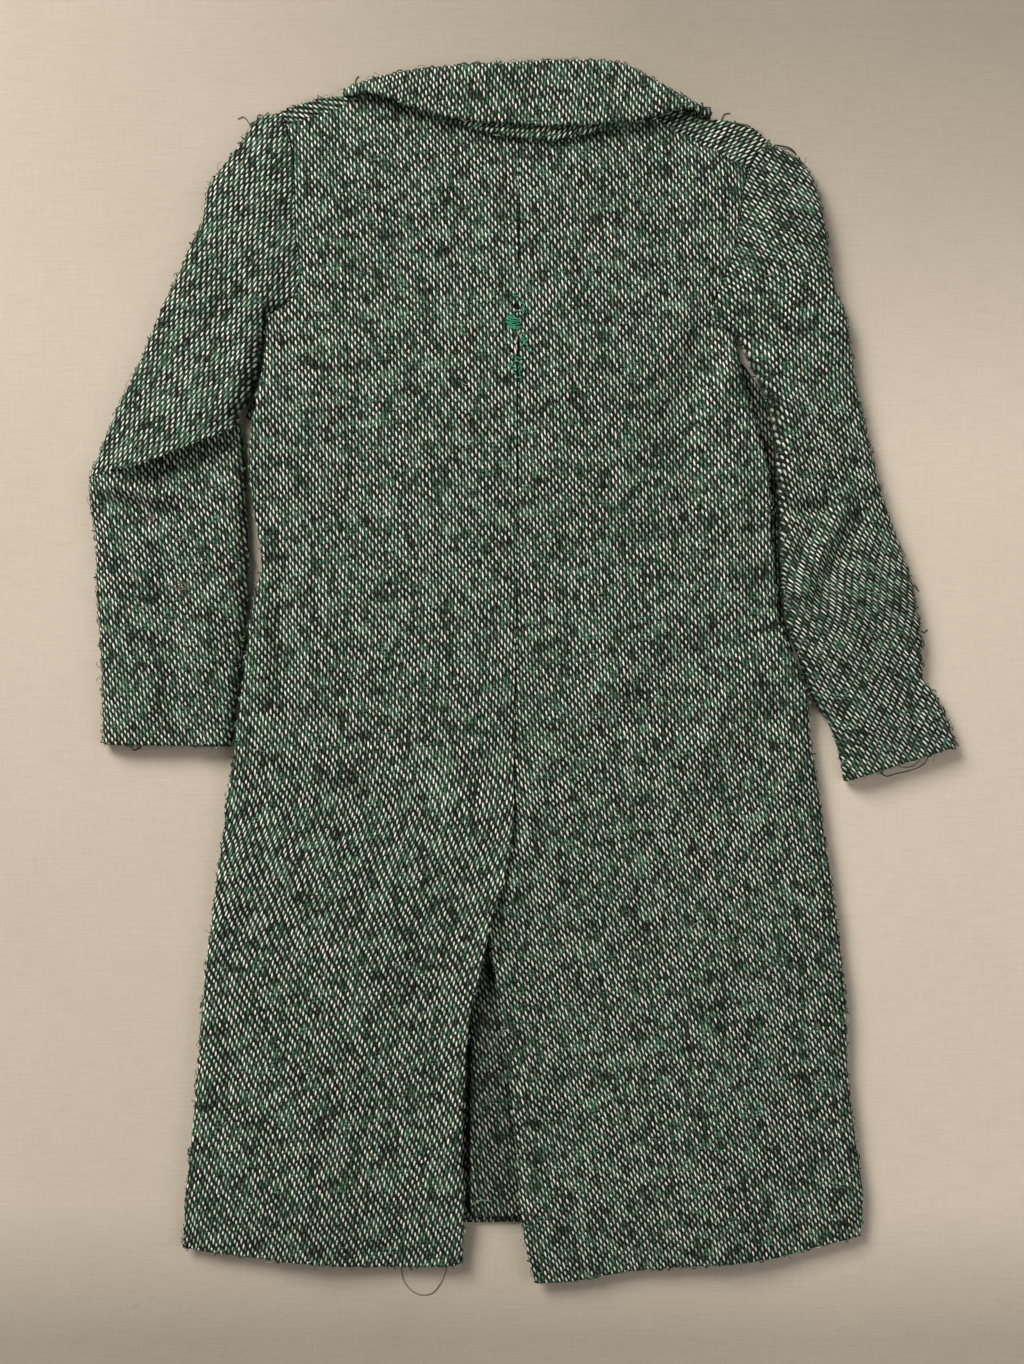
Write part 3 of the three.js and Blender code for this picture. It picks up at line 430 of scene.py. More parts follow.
@dataclass
class Drape:
    """How the body of the coat lies: the heights of its layers of cloth.

    The fronts lie on the surface, the right one lapped over the left one. The back lies on
    both, and its left flap lies over the underlap of the vent.
    """

    loft: float = 1.4
    armhole_loft: float = 0.8
    side_roll: float = 4.2
    top_slope: float = 14.0
    hem_slope: float = 9.0
    hem_drop: float = 0.9
    lap_past: float = 2.6
    lap_slope: float = 3.5
    neck_margin: float = 2.0
    underlap_margin: float = 1.6
    lift_spread: float = 5.5
    vent_opens: float = -46.0
    vent_settles: float = -60.0
    fold_depth: float = 1.5
    folds: tuple[Fold, ...] = BODY_FOLDS
    hollows: tuple[Fold, ...] = FRONT_HOLLOWS
    swell: Unevenness = Unevenness(seed=3, pitch=13.0, depth=0.1)
    pucker: Unevenness = Unevenness(seed=8, pitch=4.2, depth=0.035)

    def __post_init__(self) -> None:
        """Joins the side edges to the armholes and reads the tables."""
        self.left_edge: Edge = Edge(LEFT_SIDE + LEFT_ARMHOLE[1:])
        self.right_edge: Edge = Edge(RIGHT_SIDE + RIGHT_ARMHOLE[1:])
        self.left_hole: Edge = Edge(LEFT_ARMHOLE)
        self.right_hole: Edge = Edge(RIGHT_ARMHOLE)
        self.left_front_edge: Edge = Edge(LEFT_FRONT_SIDE + LEFT_ARMHOLE[1:])
        self.right_front_edge: Edge = Edge(RIGHT_FRONT_SIDE + RIGHT_ARMHOLE[1:])
        self.left_hem: Edge = Edge(LEFT_HEM)
        self.right_hem: Edge = Edge(RIGHT_HEM)
        self.top_edge: Edge = Edge(BACK_TOP)
        self.neckline: Edge = Edge(RIGHT_FRONT_TOP)
        self.right_middle: Edge = Edge(RIGHT_MIDDLE)

    def hollow(self, x: Array, y: Array) -> Array:
        """How far the soft creases of the fronts, on the hidden side, rise off the surface."""
        return sum(fold.at(x, y) for fold in self.hollows)

    def left_front(self, x: Array, y: Array) -> Array:
        """Upper face of the left front, flat but for its creases."""
        return CLOTH + self.hollow(x, y)

    def right_front(self, x: Array, y: Array) -> Array:
        """Upper face of the right front, one layer up where it laps the left one.

        Args:
            x: places across, in millimetres.
            y: places along.

        Returns:
            The heights.
        """
        past = smooth((x - LEFT_FRONT_EDGE - self.lap_past) / self.lap_slope)
        return CLOTH + LAYER * (1 - past) + self.hollow(x, y)

    def clear_of_fronts(self, x: Array, y: Array) -> Array:
        """Lowest that the back may lie at a place, over the fronts.

        Args:
            x: places across, in millimetres.
            y: places along.

        Returns:
            The heights.
        """
        no_lap = (x < RIGHT_FRONT_EDGE - GAP) | (y < RIGHT_FRONT_HEM - GAP)
        no_lap |= y > self.neckline.at(x) + self.neck_margin
        return np.where(no_lap, self.left_front(x, y), self.right_front(x, y)) + GAP

    def back(self, x: Array, y: Array) -> Array:
        """Upper face of the back, before the vent lifts it.

        Args:
            x: places across, in millimetres.
            y: places along.

        Returns:
            The heights.
        """
        left = x < 0
        edge = np.where(left, self.left_edge.at(y), self.right_edge.at(y))
        hem = np.where(left, self.left_hem.at(x), self.right_hem.at(x))
        low = np.where(left, self.left_hole.low, self.right_hole.low)
        high = np.where(left, self.left_hole.high, self.right_hole.high)
        share = np.clip((y - low) / (high - low), 0, 1)
        seam = self.armhole_loft * crown(share)
        rolled = np.clip(1 - np.abs(edge - x) / self.side_roll, 0, 1)
        side = seam + (self.loft - seam) * np.sqrt(1 - rolled**2)
        top = smooth((self.top_edge.at(x) - y) / self.top_slope)
        drop = self.hem_drop * (1 - smooth((y - hem) / self.hem_slope))
        folds = self.fold_depth * sum(fold.at(x, y) for fold in self.folds)
        inside = smooth(np.abs(edge - x) / self.side_roll) * top
        uneven = (self.swell.at(x, y) + self.pucker.at(x, y)) * inside
        return FOLDED_EDGE + side * top - drop + folds + uneven

    def vent_lift(self, x: Array, y: Array) -> Array:
        """Lift of the left back where the underlap lies beneath it.

        Args:
            x: places across, in millimetres.
            y: places along.

        Returns:
            The heights.
        """
        above = 1 - smooth((y - VENT_TOP - GAP) / self.lift_spread)
        below = smooth((y - self.vent_settles) / (self.vent_opens - self.vent_settles))
        edge = self.right_middle.at(np.minimum(y, UNDERLAP_TOP))
        across = smooth((x - edge + self.lift_spread) / (self.lift_spread - self.underlap_margin))
        return (LAYER + SLACK) * above * below * across

    def left_back(self, x: Array, y: Array) -> Array:
        """Upper face of the left back."""
        return self.back(x, y) + self.vent_lift(x, y)

    def clear_of_underlap(self, x: Array, y: Array) -> Array:
        """Lowest that the left back may lie: clear of the fronts and of the underlap.

        Args:
            x: places across, in millimetres.
            y: places along.

        Returns:
            The heights.
        """
        clear = self.clear_of_fronts(x, y)
        over = (y < VENT_TOP + self.underlap_margin) & (y > self.vent_opens - self.underlap_margin)
        edge = self.right_middle.at(np.minimum(y, UNDERLAP_TOP))
        over &= x > edge - self.underlap_margin
        return np.where(over, np.maximum(clear, self.back(x, y) + GAP + SLACK), clear)


def crown(share: Array | float, power: float = 3.0) -> Array:
    """Profile of an arched piece: 0 at both ends and 1 in the middle."""
    return np.sqrt(np.maximum(0, 1 - np.abs(2 * np.asarray(share) - 1) ** power))


@dataclass
class ClothMesh:
    """Points and faces of one piece of cloth, in millimetres, with its weave and fuzz.

    Where past is true, as it is above a shoulder seam, strip takes the place of weave.
    """

    points: Array
    faces: list[tuple[int, ...]]
    weave: Array
    fuzz: Array
    strip: Array | None = None
    past: Array | None = None


def make_mesh(name: str, cloth: ClothMesh, material: Material) -> Object:
    """Makes a Blender object of a piece of cloth.

    Args:
        name: the object's name.
        cloth: the piece, in millimetres.
        material: its finish.

    Returns:
        The object, at the origin, with its weave as a UV map and its fuzz as an attribute.
    """
    mesh = bpy.data.meshes.new(name)
    mesh.from_pydata((cloth.points * MM).tolist(), [], cloth.faces)
    shell = bmesh.new()
    shell.from_mesh(mesh)
    bmesh.ops.recalc_face_normals(shell, faces=shell.faces)
    shell.to_mesh(mesh)
    shell.free()
    weave = mesh.uv_layers.new(name=WEAVE_MAP)
    corner = np.zeros(len(mesh.loops), np.int32)
    mesh.loops.foreach_get("vertex_index", corner)
    places = cloth.weave[corner]
    if cloth.strip is not None:
        sizes = np.array([len(face.vertices) for face in mesh.polygons])
        owner = np.repeat(np.arange(len(sizes)), sizes)
        votes = np.bincount(owner, weights=cloth.past[corner])
        places = np.where((2 * votes > sizes)[owner][:, None], cloth.strip[corner], places)
    weave.data.foreach_set("uv", (places * MM).astype(np.float32).ravel())
    fuzz = mesh.attributes.new(FUZZ, "FLOAT", "POINT")
    fuzz.data.foreach_set("value", cloth.fuzz.astype(np.float32))
    mesh.polygons.foreach_set("use_smooth", np.ones(len(mesh.polygons), bool))
    mesh.materials.append(material)
    mesh.update()
    return add_object(name, mesh)


def grid_faces(index: Array, flip: bool = False) -> list[tuple[int, ...]]:
    """Faces between the neighbours of a grid of point numbers.

    Args:
        index: the point numbers, in rows and columns.
        flip: whether the faces turn the other way.

    Returns:
        A four-sided face for each cell.
    """
    a, b = index[:-1, :-1].ravel(), index[:-1, 1:].ravel()
    c, d = index[1:, 1:].ravel(), index[1:, :-1].ravel()
    corners = (a, d, c, b) if flip else (a, b, c, d)
    return list(zip(*(n.tolist() for n in corners)))


def split_corners(faces: list[tuple[int, ...]], shape: tuple[int, int]) -> list[tuple[int, ...]]:
    """Halves the faces at a grid's corners from the corner, so that two skins don't meet there.

    Args:
        faces: the grid's faces, as grid_faces gives them.
        shape: the grid's numbers of rows and columns of points.

    Returns:
        The same faces, with each of the four at the corners in two halves.
    """
    rows, columns = shape
    last, below = columns - 2, (rows - 2) * (columns - 1)
    for number, start in ((0, 0), (last, 1), (below, 1), (below + last, 0)):
        a, b, c, d = faces[number][start:] + faces[number][:start]
        faces[number] = (a, b, c)
        faces.append((a, c, d))
    return faces


class Grain(Enum):
    """Which way the warp of a piece runs."""

    LEFT_BACK = auto()
    RIGHT_BACK = auto()
    LEFT_UPPER_SLEEVE = auto()
    LEFT_LOWER_SLEEVE = auto()
    RIGHT_SLEEVE = auto()
    COLLAR = auto()
    UNDER_COLLAR = auto()
    LEFT_SHOULDER = auto()
    RIGHT_SHOULDER = auto()


# Lean of the warp from upright at each height, (y, degrees), to the right going down
LEANS: dict[Grain, Rows] = {
    Grain.LEFT_BACK: (
        (-100.0, -15.0), (-80.0, -16.0), (-60.0, -18.0), (-45.0, -21.0), (-32.0, -18.0),
        (-20.0, -8.0), (-10.0, -3.0), (15.0, -0.5), (95.0, 2.0),
    ),
    Grain.RIGHT_BACK: (
        (-100.0, 8.5), (-60.0, 8.5), (-30.0, 7.5), (-10.0, 4.0), (15.0, 1.0), (95.0, 1.5),
    ),
    Grain.LEFT_LOWER_SLEEVE: ((-20.0, 4.0), (10.0, 5.0), (45.0, 6.0)),
    Grain.RIGHT_SLEEVE: (
        (-20.0, 29.0), (5.0, 27.0), (26.0, 14.0), (42.0, 18.0), (54.0, 26.0), (66.0, 34.0), (90.0, 38.0),
    ),
    Grain.COLLAR: ((80.0, -4.0), (100.0, -4.0)),
}
TURNS: dict[Grain, float] = {
    Grain.LEFT_UPPER_SLEEVE: -40.0, Grain.UNDER_COLLAR: 42.0,
    Grain.LEFT_SHOULDER: 46.0, Grain.RIGHT_SHOULDER: -68.0,
}

# Shoulder seams, (x, y) of their ends: the strips above them are the fronts' cloth
LEFT_SHOULDER = ((-38.6, 87.0), (-26.0, 92.0))
RIGHT_SHOULDER = ((22.5, 87.8), (35.9, 80.5))


def weave_at(grain: Grain, x: Array, y: Array) -> Array:
    """Where each place of a piece lies in its weave.

    Args:
        grain: which way the piece's warp runs.
        x: places across, in millimetres.
        y: places along.

    Returns:
        Pairs across and along the warp, in millimetres.
    """
    if grain in TURNS:
        return turned(x, y, TURNS[grain])
    lean = Edge(LEANS[grain])
    steps = np.linspace(lean.low, lean.high, 200)
    slope = np.tan(np.radians(lean.at(steps)))
    run = np.concatenate([[0], np.cumsum((slope[1:] + slope[:-1]) / 2 * np.diff(steps))])
    stretch = 1 / np.cos(np.radians(lean.at(steps)))
    length = np.concatenate([[0], np.cumsum((stretch[1:] + stretch[:-1]) / 2 * np.diff(steps))])
    across = (x + np.interp(y, steps, run)) * np.cos(np.radians(lean.at(y)))
    return np.stack([across, np.interp(y, steps, length) + 0 * x], axis=-1)


@dataclass
class Panel:
    """A cut panel of the coat's body: a wall of cloth with rounded edges."""

    name: str
    side: Edge
    middle: Edge
    hem: Edge
    top: Edge
    grain: Grain
    side_from: float
    middle_from: float
    middle_to: float
    top_of: Callable[[Array, Array], Array]
    clear_of: Callable[[Array, Array], Array]
    seam_from: float
    row_step: float = 0.46
    column_step: float = 1.1
    nub: Unevenness = Unevenness(seed=21, pitch=0.62, depth=0.13, size=512)
    bow: float = 6.0
    armhole_from: float = 54.4
    shoulder: Rows | None = None
    shoulder_grain: Grain | None = None

    def plan(self) -> tuple[Array, Array, Array, Array]:
        """Lays out the panel's points.

        Returns:
            The places x and y as grids, from hem to top and side to middle, and the shares
            along and across.
        """
        side_to, side_ends = self.side.high, (self.side_from, self.side.high)
        middle_ends = (self.middle_from, self.middle_to)
        width = abs(float(self.side.at(self.side_from) - self.middle.at(self.middle_from)))
        v = graded(side_to - self.side_from, FINE_STEP, self.row_step)[:, None]
        u = graded(width, FINE_STEP, self.column_step)[None, :]
        side_y, middle_y = lerp(*side_ends, v), lerp(*middle_ends, v)
        x = lerp(self.side.at(side_y), self.middle.at(middle_y), u)
        ends = []
        for edge, k in ((self.hem, 0), (self.top, 1)):
            ax, bx = float(self.side.at(side_ends[k])), float(self.middle.at(middle_ends[k]))
            straight = lerp(side_ends[k], middle_ends[k], u)
            ends.append(edge.at(lerp(ax, bx, u)) - straight)
        bent = (1 - v) ** self.bow * ends[0] + v**self.bow * ends[1]
        return x, lerp(side_y, middle_y, u) + bent, v + 0 * u, u + 0 * v

    def build(self) -> ClothMesh:
        """Builds the panel's upper and lower faces, which share their rim.

        Returns:
            The mesh, in millimetres.
        """
        x, y, v, u = self.plan()
        step = 0.5
        slope_x = (self.top_of(x + step, y) - self.top_of(x - step, y)) / (2 * step)
        slope_y = (self.top_of(x, y + step) - self.top_of(x, y - step)) / (2 * step)
        thick = CLOTH * np.minimum(1.3, np.sqrt(1 + slope_x**2 + slope_y**2))
        bottom = np.maximum(self.top_of(x, y) - thick, self.clear_of(x, y))
        top = np.maximum(self.top_of(x, y), bottom + CLOTH)

        width = np.abs(x[:, -1:] - x[:, :1])
        from_side, from_middle = u * width, (1 - u) * width
        height = y[-1:, :] - y[:1, :]
        from_hem, from_top = v * height, (1 - v) * height
        seam = smooth((y - self.seam_from) / 2)
        inward = np.maximum.reduce([
            quarter_round(from_side, SEAM_ROUND),
            lerp(quarter_round(from_middle, FREE_ROUND), quarter_round(from_middle, SEAM_ROUND), seam),
            quarter_round(from_hem, FREE_ROUND),
            quarter_round(from_top, SEAM_ROUND),
        ])
        top, bottom = top - inward, bottom + inward
        middle = (top + bottom) / 2
        rim = np.zeros(x.shape, bool)
        rim[[0, -1], :] = True
        rim[:, [0, -1]] = True
        top, bottom = np.where(rim, middle, top), np.where(rim, middle, bottom)

        weave = weave_at(self.grain, x, y)
        outward = np.sign(float(self.side.at(0.0)) - float(self.middle.at(0.0)))
        below_armhole = 1 - smooth((y - self.armhole_from + 2) / 2)
        nub_x = outward * self.nub.at(y, 0.0) * edge_fade(from_side) * below_armhole
        nub_x = nub_x - outward * self.nub.at(y, 9.0) * edge_fade(from_middle) * (1 - seam)
        nub_y = self.nub.at(x, 29.0) * edge_fade(from_top) - self.nub.at(x, 17.0) * edge_fade(from_hem)
        x, y = x + nub_x, y + nub_y

        size = x.size
        upper = np.arange(size).reshape(x.shape)
        lower = np.where(rim, upper, 0)
        lower[~rim] = size + np.arange((~rim).sum())
        points = np.concatenate([
            np.stack([x, y, top], -1).reshape(-1, 3),
            np.stack([x, y, bottom], -1)[~rim],
        ])
        faces = split_corners(grid_faces(upper, flip=outward > 0), x.shape)
        faces += split_corners(grid_faces(lower, flip=outward < 0), x.shape)
        near = np.minimum.reduce([from_side, lerp(from_middle, 9.0, seam), from_hem, from_top])
        fuzz = nap_share(near, 0.6)
        strip = past = None
        if self.shoulder is not None:
            (x0, y0), (x1, y1) = self.shoulder
            above = y > y0 + (y1 - y0) * (x - x0) / (x1 - x0)
            other = weave_at(self.shoulder_grain, x, y)
            past = np.concatenate([above.ravel(), above[~rim]])
            strip = np.concatenate([other.reshape(-1, 2), other[~rim]])
        return ClothMesh(
            points=points,
            faces=faces,
            weave=np.concatenate([weave.reshape(-1, 2), weave[~rim]]),
            fuzz=np.concatenate([fuzz.ravel(), 0 * fuzz[~rim]]),
            strip=strip,
            past=past,
        )


# Sections of the sleeves from beyond the armhole to the cuff: x and y of the outer edge, x and
# y of the inner edge, loft of the middle above the edges, and what the elbow fold adds
LEFT_SLEEVE: Rows = (
    (-42.8, 89.1, -42.3, 55.4, 1.7, 0.0),
    (-45.2, 85.4, -42.1, 53.0, 1.9, 0.0),
    (-48.3, 81.4, -42.3, 51.3, 2.0, 0.0),
    (-50.8, 77.3, -42.5, 49.6, 2.0, 0.0),
    (-51.6, 72.5, -42.8, 47.8, 2.0, 0.0),
    (-53.8, 68.2, -43.2, 46.2, 1.9, 0.0),
    (-55.6, 63.6, -43.6, 44.8, 1.9, 0.0),
    (-57.9, 59.2, -44.1, 43.6, 1.9, 0.1),
    (-59.8, 54.6, -44.6, 42.8, 1.9, 0.3),
    (-61.6, 50.2, -45.3, 42.2, 1.9, 0.8),
    (-64.6, 43.8, -45.6, 41.7, 1.9, 1.3),
    (-67.6, 36.8, -45.8, 41.2, 1.9, 1.7),
    (-69.6, 31.4, -45.9, 40.8, 1.9, 1.9),
    (-69.8, 30.2, -45.7, 40.1, 1.8, -1.8),
    (-69.8, 28.2, -45.2, 37.6, 1.8, -1.6),
    (-69.4, 25.0, -44.9, 34.0, 1.8, -1.2),
    (-68.8, 21.4, -44.7, 29.0, 1.8, -0.5),
    (-68.7, 16.6, -44.4, 23.0, 1.7, 0.0),
    (-68.6, 11.4, -44.2, 16.0, 1.7, 0.0),
    (-68.1, 6.0, -44.6, 8.6, 1.8, 0.0),
    (-67.9, 0.4, -45.3, 1.4, 1.8, 0.0),
    (-67.8, -5.4, -46.3, -5.6, 1.4, 0.0),
    (-67.6, -11.6, -47.0, -12.0, 1.2, 0.0),
)
RIGHT_SLEEVE: Rows = (
    (42.6, 83.6, 34.6, 53.8, 1.7, 0.0),
    (44.9, 82.0, 35.4, 51.8, 1.9, 0.0),
    (46.8, 78.7, 36.1, 50.2, 2.0, 0.0),
    (47.9, 74.8, 36.9, 48.6, 2.0, 0.0),
    (48.7, 70.5, 37.7, 46.8, 2.0, 0.0),
    (49.2, 66.0, 38.6, 45.0, 2.0, 0.0),
    (50.2, 61.5, 39.4, 43.0, 2.0, 0.0),
    (51.9, 57.0, 40.1, 40.4, 2.0, 0.0),
    (52.7, 52.0, 40.5, 37.4, 1.9, 0.0),
    (53.4, 46.8, 40.8, 34.0, 1.9, 0.0),
    (54.6, 41.4, 41.0, 30.0, 1.9, 0.0),
    (55.8, 36.0, 41.2, 26.0, 1.9, 0.0),
    (57.1, 30.8, 41.3, 22.0, 1.9, 0.0),
    (58.6, 25.8, 41.5, 18.0, 1.9, 0.0),
    (60.5, 20.6, 41.7, 14.0, 1.9, 0.0),
    (62.2, 15.4, 42.0, 10.0, 1.9, 0.0),
    (63.4, 10.0, 42.8, 6.2, 1.9, 0.0),
    (64.1, 4.8, 44.1, 2.6, 1.8, 0.0),
    (64.2, -0.6, 45.4, -1.2, 1.5, 0.0),
    (65.6, -2.6, 46.9, -5.0, 1.4, 0.0),
    (67.2, -5.4, 49.3, -8.6, 1.4, 0.0),
    (68.6, -8.6, 50.6, -12.6, 1.3, 0.0),
    (69.8, -11.8, 51.6, -17.6, 1.2, 0.0),
)

# Folds of the sleeves, and soft creases on their hidden side
LEFT_SLEEVE_FOLDS = fold_rows(
    (-65.4, 29.6, -56.5, 27.8, 1.15, 1.3),
    (-67.0, 26.8, -57.0, 24.6, -1.0, 1.2),
    (-60.0, 21.0, -50.0, 20.0, 0.35, 2.0),
    (-46.4, 34.0, -45.8, 12.0, 0.6, 1.5),
    (-43.8, 51.0, -46.8, 43.6, 0.7, 1.6),
    (-50.0, 82.0, -44.0, 62.0, 0.5, 3.4),
    (-57.0, 14.0, -56.0, -8.0, -0.4, 3.0),
    (-46.0, 60.0, -56.0, 47.0, -0.35, 2.4),
    (-49.0, 18.0, -50.0, 4.0, 0.3, 2.4),
    (-62.0, 20.0, -64.0, 4.0, 0.25, 2.2),
)
LEFT_SLEEVE_HOLLOWS = fold_rows(
    (-63.0, 36.0, -53.0, 31.0, 0.32, 2.0),
    (-62.0, 25.0, -52.0, 23.5, 0.24, 1.6),
    (-51.0, 74.0, -47.5, 60.0, 0.26, 2.2),
    (-57.0, 12.0, -58.5, 0.0, 0.22, 2.4),
)
RIGHT_SLEEVE_FOLDS = fold_rows(
    (51.4, 27.4, 43.6, 12.0, 0.85, 1.7),
    (48.4, 25.6, 42.8, 15.0, -0.6, 1.4),
    (53.4, 24.0, 46.2, 9.0, -0.6, 1.5),
    (42.6, 25.4, 48.0, 26.2, -0.9, 0.9),
    (42.6, 42.0, 42.4, 20.0, 0.7, 1.5),
    (38.6, 48.0, 42.0, 41.0, 0.6, 1.5),
    (44.2, 6.0, 48.0, -4.0, 0.5, 1.5),
    (47.0, 30.0, 44.0, 44.0, 0.5, 3.0),
    (57.0, 8.0, 62.5, -2.0, -0.6, 2.0),
    (63.4, -1.0, 62.6, -11.0, -0.7, 1.1),
    (52.0, 8.0, 58.0, 4.0, -0.4, 1.6),
    (40.0, 76.0, 46.0, 58.0, 0.3, 3.0),
    (52.0, 10.0, 56.0, -10.0, 0.3, 2.6),
)
RIGHT_SLEEVE_HOLLOWS = fold_rows(
    (54.0, 23.0, 47.0, 17.0, 0.3, 1.9),
    (46.0, 66.0, 44.5, 54.0, 0.24, 2.0),
    (48.0, 42.0, 49.5, 34.0, 0.18, 2.2),
    (55.0, 5.0, 58.0, -4.0, 0.22, 2.2),
)


@dataclass
class Sleeve:
    """A sleeve pressed flat: a tube of cloth, open at the armhole and at the cuff."""

    name: str
    sections: Rows
    armhole: Rows
    side: Edge
    folds: tuple[Fold, ...]
    hollows: tuple[Fold, ...]
    upper_grain: Grain
    lower_grain: Grain
    elbow: float | None = None
    armhole_loft: float = 0.8
    cap_sections: float = 5.0
    overhang_from: float = 0.12
    overhang_full: float = 0.36
    tuck: float = 1.9
    tuck_half: float = 0.95
    tuck_axis: tuple[float, float] = (0.37, -0.93)
    fold_depth: float = 1.4
    top_round: float = 1.1
    under_round: float = 1.25
    row_step: float = 0.46
    column_step: float = 0.8
    swell: Unevenness = Unevenness(seed=5, pitch=9.0, depth=0.12)
    nub: Unevenness = Unevenness(seed=33, pitch=0.62, depth=0.13, size=512)

    def __post_init__(self) -> None:
        """Reads the sections, with the armhole as the first one."""
        ys = np.linspace(self.armhole[-1][0], self.armhole[0][0], 160)
        line = np.stack([self.side.at(ys), ys], -1)
        run = np.gradient(line, axis=0)
        run /= np.linalg.norm(run, axis=1, keepdims=True)
        toward = -np.sign(line[0, 0]) * SEAM_GAP * 2
        self.hole = line + toward * np.stack([run[:, 1], -run[:, 0]], -1)
        lengths = lengths_along(self.hole)
        self.hole_shares = lengths / lengths[-1]
        first = (*self.hole[0], *self.hole[-1], self.armhole_loft, 0.0)
        rows = [(float(i), *row) for i, row in enumerate((first, *self.sections))]
        self.reads = [Edge(rows, column) for column in range(1, 7)]
        self.last = float(len(rows) - 1)

    def place(self, t: Array, share: Array) -> Array:
        """Places in plan at sections t and shares of their width from the outer edge.

        Args:
            t: sections, counted from the armhole.
            share: shares of the width, from the outer edge.

        Returns:
            Pairs of x and y.
        """
        outer = np.stack([self.reads[0].at(t), self.reads[1].at(t)], -1)
        inner = np.stack([self.reads[2].at(t), self.reads[3].at(t)], -1)
        fade = np.maximum(0, 1 - t / self.cap_sections)[..., None] ** 3
        hole = np.stack([np.interp(share, self.hole_shares, self.hole[:, k]) for k in (0, 1)], -1)
        share = share[..., None]
        bulge = hole - lerp(self.hole[0], self.hole[-1], share)
        return lerp(outer, inner, share) + fade * bulge

    def top(self, t: Array, share: Array) -> Array:
        """Height of the upper face at sections t and shares of their width.

        Args:
            t: sections, counted from the armhole.
            share: shares of the width, from the outer edge.

        Returns:
            The heights.
        """
        at = self.place(t, share)
        over = smooth((share - self.overhang_from) / (self.overhang_full - self.overhang_from))
        lift = self.reads[4].at(t) + self.reads[5].at(t) * over
        lift = lift + self.fold_depth * sum(fold.at(at[..., 0], at[..., 1]) for fold in self.folds)
        lift = lift + self.swell.at(at[..., 0], at[..., 1])
        return FOLDED_EDGE + np.maximum(0.1, lift * crown(share, 5.0))

    def rows(self) -> tuple[Array, Array]:
        """Sections of the mesh's rows, and how far each is from the cuff.

        Returns:
            The sections, and the distances.
        """
        t = np.linspace(0, self.last, 600)
        middle = self.place(t, np.full_like(t, 0.5))
        run = lengths_along(middle)
        marks = graded(run[-1], FINE_STEP, self.row_step) * run[-1]
        at = np.interp(marks, run, t)
        if self.elbow is not None:
            close = np.linspace(self.elbow - 1.2, self.elbow + 1.2, 44)
            at = np.concatenate([at[(at < close[0]) | (at > close[-1])], close])
        at = np.sort(at)
        return at, run[-1] - np.interp(at, t, run)

    def build(self) -> ClothMesh:
        """Builds the tube's outer and inner skins and joins them at both ends.

        Returns:
            The mesh, in millimetres.
        """
        t, from_cuff = self.rows()
        u = graded(24.0, 0.12, self.column_step)
        t, share = np.meshgrid(t, u, indexing="ij")
        from_cuff = from_cuff[:, None] + 0 * share
        from_hole = from_cuff.max() - from_cuff
        ends = [self.place(t, np.full_like(t, s)) for s in (0.0, 1.0)]
        across = ends[0] - ends[1]
        width = np.linalg.norm(across, axis=-1)
        across = across / width[..., None]
        middle = FOLDED_EDGE / 2
        ending = np.maximum(quarter_round(from_cuff, FREE_ROUND), quarter_round(from_hole, SEAM_ROUND))

        def arch(distance: Array, radius: float) -> Array:
            """Profile of the rounded folds at both sides of the sleeve."""
            near = np.clip(1 - np.minimum(distance, width - distance) / radius, 0, 1)
            return np.sqrt(1 - near**2)

        plan = self.place(t, share)
        from_edge = share * width
        rise = arch(from_edge, self.top_round)
        top = middle + (self.top(t, share) - middle) * rise - ending * rise
        hollow = sum(fold.at(plan[..., 0], plan[..., 1]) for fold in self.hollows) * crown(share)
        under = middle * (1 - arch(from_edge, self.under_round)) + FLOOR_CLEAR + ending + hollow
        nubs = self.nub.at(from_cuff, 3.0) * edge_fade(from_edge)
        nubs = nubs - self.nub.at(from_cuff, 11.0) * edge_fade(width - from_edge)
        nubs = nubs * smooth(from_hole / 3)
        down = np.gradient(plan, axis=0)
        down /= np.linalg.norm(down, axis=-1, keepdims=True)
        outer = plan + across * nubs[..., None]
        outer = outer + down * (self.nub.at(from_edge, 19.0) * edge_fade(from_cuff))[..., None]
        upper = outer
        if self.elbow is not None:
            phase = np.clip((t - self.elbow) / self.tuck_half, -1, 1)
            reach = smooth((share - 0.05) / 0.3) * smooth((1.02 - share) / 0.08)
            push = -self.tuck * np.sin(np.pi * phase) * reach
            upper = outer + push[..., None] * np.array(self.tuck_axis)

        inner_share = (CLOTH + share * (width - 2 * CLOTH)) / width
        inside = self.place(t, inner_share)
        lowest = np.minimum.reduce([self.top(np.clip(t + k, 0, self.last), inner_share) for k in (-1, 0, 1)])
        curve = arch(share * width, self.under_round)
        ceiling = middle + (np.maximum(LAYER + hollow, lowest - CLOTH) - middle) * curve + ending
        floor = middle - (middle - CLOTH - hollow) * curve - ending

        rows, columns = t.shape
        ring = 2 * (columns - 1)

        def skin(top_xy: Array, top_z: Array, low_xy: Array, low_z: Array) -> Array:
            """Joins an upper and a lower face into rings of points.

            Args:
                top_xy: places of the upper face.
                top_z: its heights.
                low_xy: places of the lower face.
                low_z: its heights.

            Returns:
                The rings.
            """
            high = np.concatenate([top_xy, top_z[..., None]], -1)
            low = np.concatenate([low_xy, low_z[..., None]], -1)[:, -2:0:-1]
            return np.concatenate([high, low], axis=1)

        rings = [skin(upper, top, outer, under), skin(inside, ceiling, inside, floor)]
        numbers = np.arange(rows * ring).reshape(rows, ring)
        numbers = np.concatenate([numbers, numbers[:, :1]], axis=1)
        inside_out = across[0, 0, 0] > 0
        faces = grid_faces(numbers, flip=inside_out)
        faces += grid_faces(numbers + rows * ring, flip=not inside_out)
        for row, flip in ((0, not inside_out), (rows - 1, inside_out)):
            faces += grid_faces(np.stack([numbers[row], numbers[row] + rows * ring]), flip=flip)

